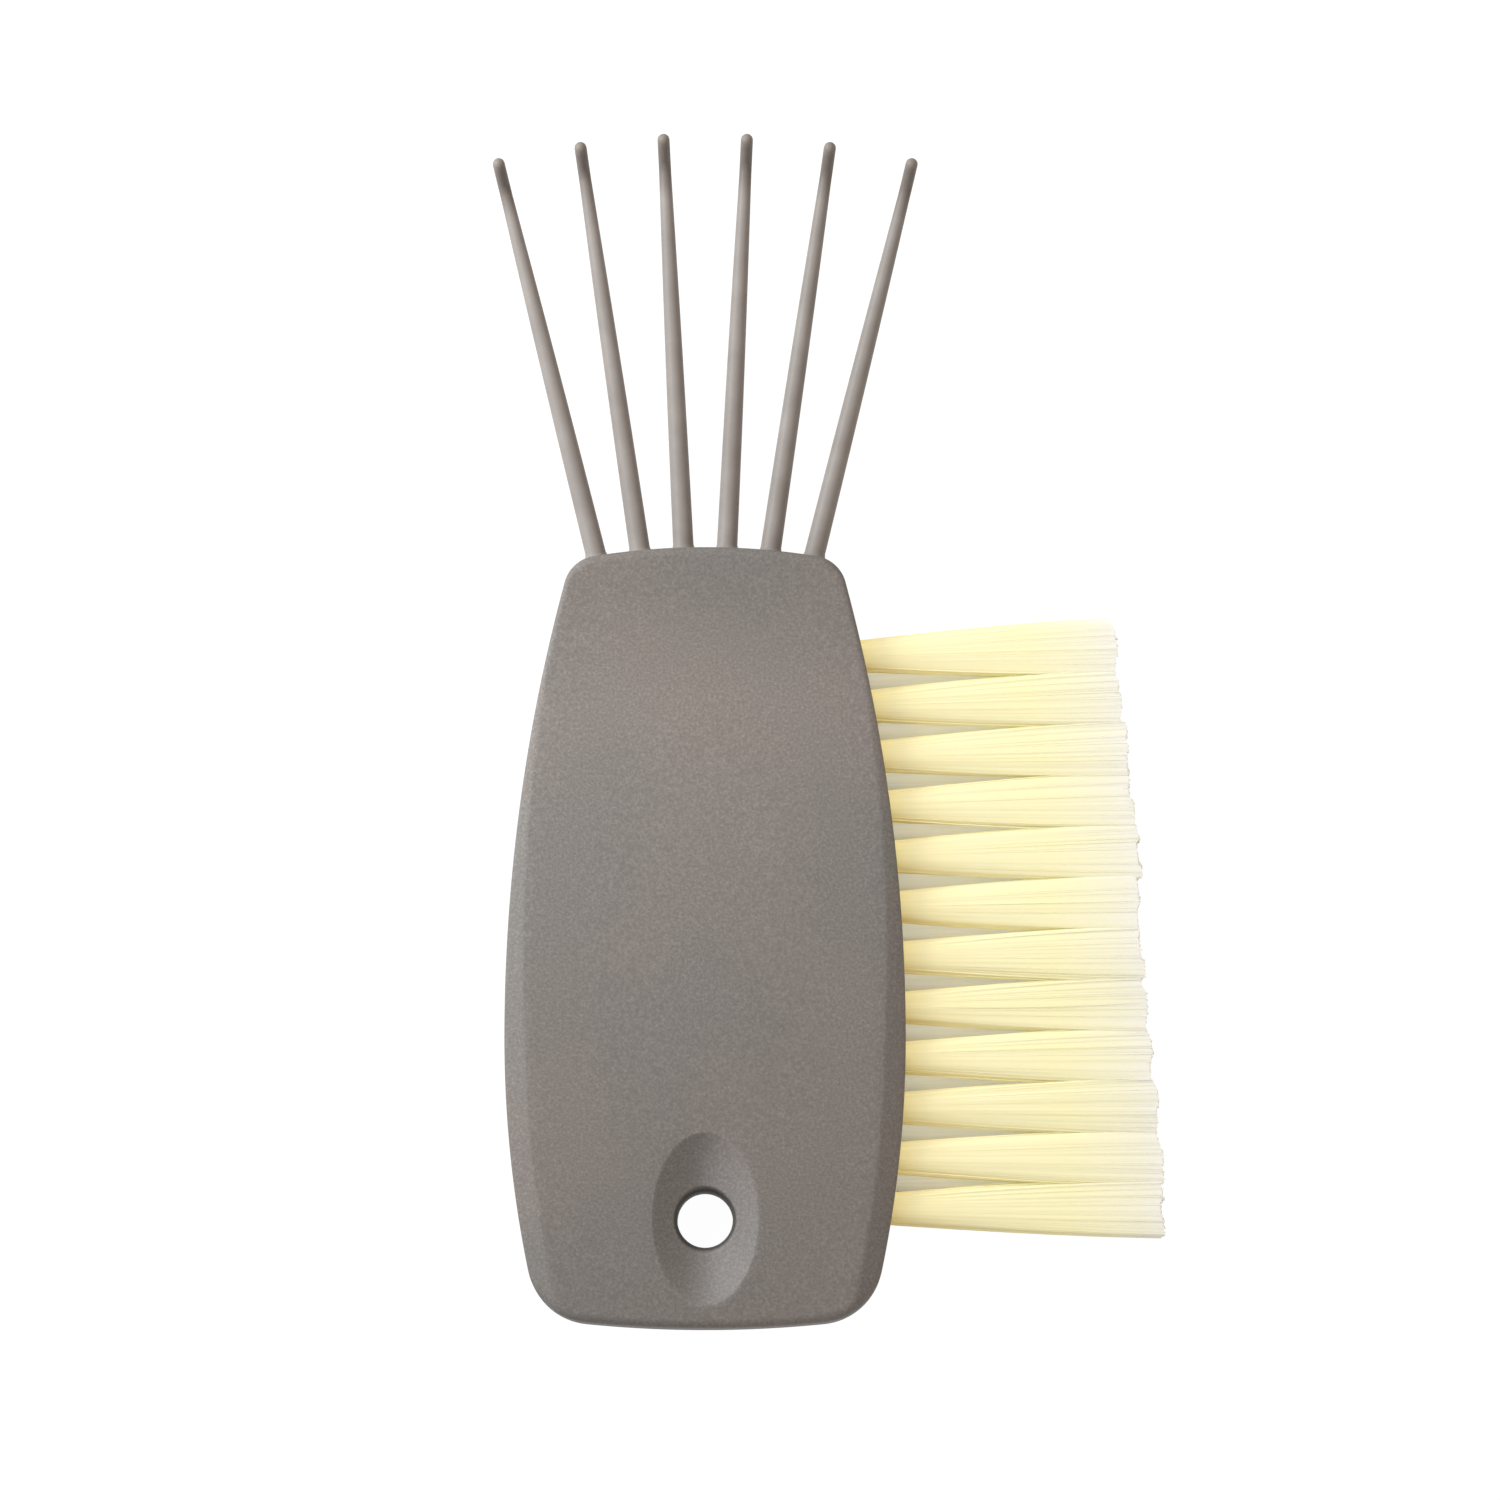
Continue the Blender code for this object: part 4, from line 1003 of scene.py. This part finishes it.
def rake_material():
    """The same plastic from a smoother mould, with painted shade on the bend of the hooks, left lighter at
    their round ends.
    """
    material, tree, shader = new_material("rake_plastic", roughness=0.5, specular=0.2)
    place = object_coordinates(tree)
    colour = ramp(
        tree,
        noise(tree, place, scale=320, detail=3),
        ((0.30, (129, 122, 118)), (0.50, (134, 127, 123)), (0.70, (139, 132, 128))),
    )
    # Painted shade where the hooks bend up, fading back to the plain tone at their round ends
    reach = vector_math(tree, "DISTANCE", place, FAN_CENTRE).outputs["Value"]
    hook_shade_colour = (206, 201, 198)
    painted_hook_shade = ramp(
        tree,
        map_range(tree, reach, TINE_REACH - HOOK_SHADE_LENGTH, TINE_REACH),
        ((0.05, (255, 255, 255)), (0.50, hook_shade_colour), (0.78, hook_shade_colour), (0.95, (250, 246, 240))),
    )
    tree.links.new(mixed(tree, colour, painted_hook_shade), shader.inputs["Base Color"])
    bumped(tree, shader, noise(tree, place, scale=2600), strength=0.15, distance=0.00004)
    return material


def block_material():
    """Plain carrier of the tufts, with a fine moulded grain."""
    material, tree, shader = new_material("block_plastic", roughness=0.6)
    place = object_coordinates(tree)
    colour = ramp(
        tree,
        noise(tree, place, scale=900, detail=3),
        ((0.30, (172, 160, 134)), (0.50, (178, 167, 141)), (0.70, (184, 173, 147))),
    )
    tree.links.new(colour, shader.inputs["Base Color"])
    bumped(tree, shader, noise(tree, place, scale=3000), strength=0.2, distance=0.00005)
    return material


def steel_material():
    """Drawn flat wire, with fine streaks along it."""
    material, tree, shader = new_material("anchor_steel", roughness=0.35, metallic=1.0)
    stretch = tree.nodes.new("ShaderNodeMapping")
    stretch.inputs["Scale"].default_value = (1.0, 0.06, 1.0)
    tree.links.new(object_coordinates(tree), stretch.inputs["Vector"])
    streaks = noise(tree, stretch.outputs["Vector"], scale=9000)
    colour = ramp(tree, streaks, ((0.35, (186, 184, 180)), (0.65, (206, 204, 200))))
    tree.links.new(colour, shader.inputs["Base Color"])
    bumped(tree, shader, streaks, strength=0.15, distance=0.00002)
    return material


def attribute_value(tree, name):
    node = tree.nodes.new("ShaderNodeAttribute")
    node.attribute_name = name
    return node.outputs["Fac"]


def nylon_material(name, lengthwise):
    """Cream nylon that pales from root to end, with no two filaments quite alike."""
    material, tree, shader = new_material(name, roughness=0.5, specular=0.25)
    shader.inputs["Subsurface Weight"].default_value = 0.15
    shader.inputs["Subsurface Radius"].default_value = (1.0, 0.9, 0.6)
    shader.inputs["Subsurface Scale"].default_value = 0.0004
    length = ramp(tree, attribute_value(tree, "along"), lengthwise)
    tone = ramp(tree, attribute_value(tree, "tone"), ((0.0, (250, 248, 242)), (1.0, (255, 255, 255))))
    # Painted shade on the tufts' sides that face away from the light, carried by the depth attribute
    painted_lower_shade = ramp(tree, attribute_value(tree, "depth"), ((0.0, (255, 255, 255)), (1.0, (247, 238, 205))))
    tinted = mixed(tree, mixed(tree, length, tone), painted_lower_shade)
    # Cut ends: pale cells with darker rims, painted shade in the gaps between the fibre ends
    cells = tree.nodes.new("ShaderNodeTexVoronoi")
    cells.inputs["Scale"].default_value = 1 / CUT_CELL
    tree.links.new(object_coordinates(tree), cells.inputs["Vector"])
    cut = ramp(tree, cells.outputs["Distance"], ((0.25, (255, 255, 255)), (0.75, (230, 225, 211))))
    colour = mixed(tree, tinted, cut, factor=attribute_value(tree, "cut"))
    tree.links.new(colour, shader.inputs["Base Color"])
    return material


def front_nylon():
    lengthwise = (
        (0.0, (253, 236, 169)),
        (0.10, (244, 232, 182)),
        (0.35, (243, 235, 191)),
        (0.65, (243, 236, 192)),
        (0.83, (240, 235, 204)),
        (0.93, (237, 234, 214)),
        (1.0, (236, 234, 226)),
    )
    return nylon_material("front_nylon", lengthwise)


def shaded_rear_nylon():
    """A greyer copy of the nylon with less of the warm tint: painted shade for the row behind, which sits
    in the shade of the front row.
    """
    lengthwise = ((0.0, (235, 232, 217)), (0.6, (240, 236, 219)), (1.0, (240, 237, 226)))
    return nylon_material("shaded_rear_nylon", lengthwise)


# Dressed pieces


def build_shell(name, node, face_rings, rim_z, inner_z, tube_foot, material):
    walls = wall_rings(rim_z, inner_z)
    rings = face_rings + walls + tube_rings(walls[-1], rim_z, inner_z, *tube_foot)
    mesh = skinned(name, rings, looped=True)
    mesh = combined(mesh, "DIFFERENCE", [tine_passages()])
    mesh.name = name
    face_outwards(mesh)
    dressed(name, mesh, material, [node])


def build_handle():
    plastic = handle_material("front_plastic", SCOOP_PAINTED_LIGHT)
    foot = (SCOOP_HALF_WIDTH + FRONT_FOOT_MARGIN, FRONT_FOOT_HALF_LENGTH)
    build_shell(
        "front_shell", "handle_front_shell", front_face_rings(), FRONT_RIM_Z, CEILING_Z, foot, plastic
    )
    plastic = handle_material("back_plastic", FACE_TONE)
    foot = (TUBE_RADIUS + BACK_FOOT_MARGIN,) * 2
    build_shell("back_shell", "handle_back_shell", back_face_rings(), BACK_RIM_Z, FLOOR_Z, foot, plastic)


def build_rake(material):
    bar = skinned("bar", bar_rings())
    face_outwards(bar)
    tines = []
    for index in range(TINE_COUNT):
        tine = skinned(f"tine_{index}", tine_rings(index))
        face_outwards(tine)
        tines.append(tine)
    mesh = combined(bar, "UNION", tines)
    mesh.name = "rake"
    face_outwards(mesh)
    dressed("rake", mesh, material, ["tine_rake"])


def build_tufts():
    materials = {"upper": front_nylon(), "lower": shaded_rear_nylon()}
    counts = {
        "upper": (FILAMENTS_IN_FRONT, CUT_ENDS_IN_FRONT),
        "lower": (FILAMENTS_BEHIND, CUT_ENDS_BEHIND),
    }
    for number, (node, place, length, open_side) in enumerate(tuft_places()):
        draws = np.random.default_rng(FIRST_SEED + number)
        row = node.split("_")[0]
        name = node.replace("tuft", "bristles")
        mesh = tuft_mesh(name, place, length, open_side, counts[row], draws)
        dressed(name, mesh, materials[row], [node])


def give_material(node, material):
    for material_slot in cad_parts[node].material_slots:
        material_slot.material = material


# Floor, light and camera


def floor_material():
    """White to the camera with the object's shadow on it, and a mild bounce to everything else."""
    material = bpy.data.materials.new("floor")
    material.use_nodes = True
    tree = material.node_tree
    tree.nodes.remove(tree.nodes["Principled BSDF"])
    seen = tree.nodes.new("ShaderNodeAddShader")
    diffuse = tree.nodes.new("ShaderNodeBsdfDiffuse")
    diffuse.inputs["Color"].default_value = (FLOOR_COLOUR,) * 3 + (1,)
    glow = tree.nodes.new("ShaderNodeEmission")
    glow.inputs["Strength"].default_value = FLOOR_GLOW
    tree.links.new(diffuse.outputs["BSDF"], seen.inputs[0])
    tree.links.new(glow.outputs["Emission"], seen.inputs[1])
    plain = tree.nodes.new("ShaderNodeBsdfDiffuse")
    plain.inputs["Color"].default_value = (FLOOR_BOUNCE,) * 3 + (1,)
    choice = tree.nodes.new("ShaderNodeMixShader")
    tree.links.new(looked_at(tree), choice.inputs["Fac"])
    tree.links.new(plain.outputs["BSDF"], choice.inputs[1])
    tree.links.new(seen.outputs["Shader"], choice.inputs[2])
    tree.links.new(choice.outputs["Shader"], tree.nodes["Material Output"].inputs["Surface"])
    return material


def build_floor():
    mesh = bpy.data.meshes.new("floor")
    half = FLOOR_HALF_SIZE
    corners = ((-half, -half), (half, -half), (half, half), (-half, half))
    mesh.from_pydata([(x, y, -FLOOR_DROP) for x, y in corners], [], [(0, 1, 2, 3)])
    mesh.materials.append(floor_material())
    floor = bpy.data.objects.new("floor", mesh)
    bpy.context.scene.collection.objects.link(floor)


def looked_at(tree):
    """1 for the camera's own rays and for what gloss and clear material show, else 0."""
    path = tree.nodes.new("ShaderNodeLightPath")
    value = path.outputs["Is Camera Ray"]
    for other in ("Is Glossy Ray", "Is Transmission Ray"):
        node = tree.nodes.new("ShaderNodeMath")
        node.operation = "MAXIMUM"
        tree.links.new(value, node.inputs[0])
        tree.links.new(path.outputs[other], node.inputs[1])
        value = node.outputs["Value"]
    return value


def build_world():
    """Soft room light, warm on one side and cool on the other, in front of a white background."""
    world = bpy.data.worlds.new("studio")
    bpy.context.scene.world = world
    world.use_nodes = True
    tree = world.node_tree
    background = tree.nodes["Background"]
    around = tree.nodes.new("ShaderNodeTexCoord").outputs["Generated"]
    towards_warm = vector_math(tree, "DOT_PRODUCT", around, WARM_SIDE).outputs["Value"]
    warmth = map_range(tree, towards_warm, low=-1.0)
    tint = mixed(tree, WORLD_LEFT, WORLD_RIGHT, factor=warmth, blend_type="MIX")
    colour = mixed(tree, tint, (1, 1, 1, 1), factor=looked_at(tree), blend_type="MIX")
    tree.links.new(colour, background.inputs["Color"])
    strength = map_range(tree, looked_at(tree), to_low=WORLD_LEVEL)
    tree.links.new(strength, background.inputs["Strength"])


def add_area_light(name, position, size, power, colour, aim, casts_shadow):
    data = bpy.data.lights.new(name, "AREA")
    data.shape = "DISK"
    data.size = size
    data.energy = power
    data.color = colour
    data.use_shadow = casts_shadow
    lamp = bpy.data.objects.new(name, data)
    bpy.context.scene.collection.objects.link(lamp)
    lamp.location = position
    lamp.rotation_euler = (aim - position).to_track_quat("-Z", "Y").to_euler()


def build_camera():
    data = bpy.data.cameras.new("camera")
    data.sensor_width = CAMERA_SENSOR_WIDTH
    data.lens = CAMERA_SENSOR_WIDTH * CAMERA_DISTANCE / VIEW_WIDTH
    data.clip_end = CAMERA_CLIP_END
    camera = bpy.data.objects.new("camera", data)
    bpy.context.scene.collection.objects.link(camera)
    away = Vector((0, -math.cos(CAMERA_HEIGHT_ANGLE), math.sin(CAMERA_HEIGHT_ANGLE)))
    camera.location = VIEW_CENTRE + away * CAMERA_DISTANCE
    camera.rotation_euler = (math.pi / 2 - CAMERA_HEIGHT_ANGLE, 0, 0)
    bpy.context.scene.camera = camera


def main():
    build_handle()
    build_rake(rake_material())
    build_tufts()
    give_material("bristle_block", block_material())
    steel = steel_material()
    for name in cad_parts:
        if "anchor" in name:
            give_material(name, steel)
    build_floor()
    build_world()
    aim = Vector((0, 0, MIDDLE_Z))
    add_area_light("key", KEY_POSITION, KEY_SIZE, KEY_POWER, KEY_COLOUR, aim, True)
    add_area_light("fill", KEY_POSITION, KEY_SIZE, FILL_POWER, KEY_COLOUR, aim, False)
    build_camera()
    bpy.context.scene.view_settings.view_transform = "Standard"


main()
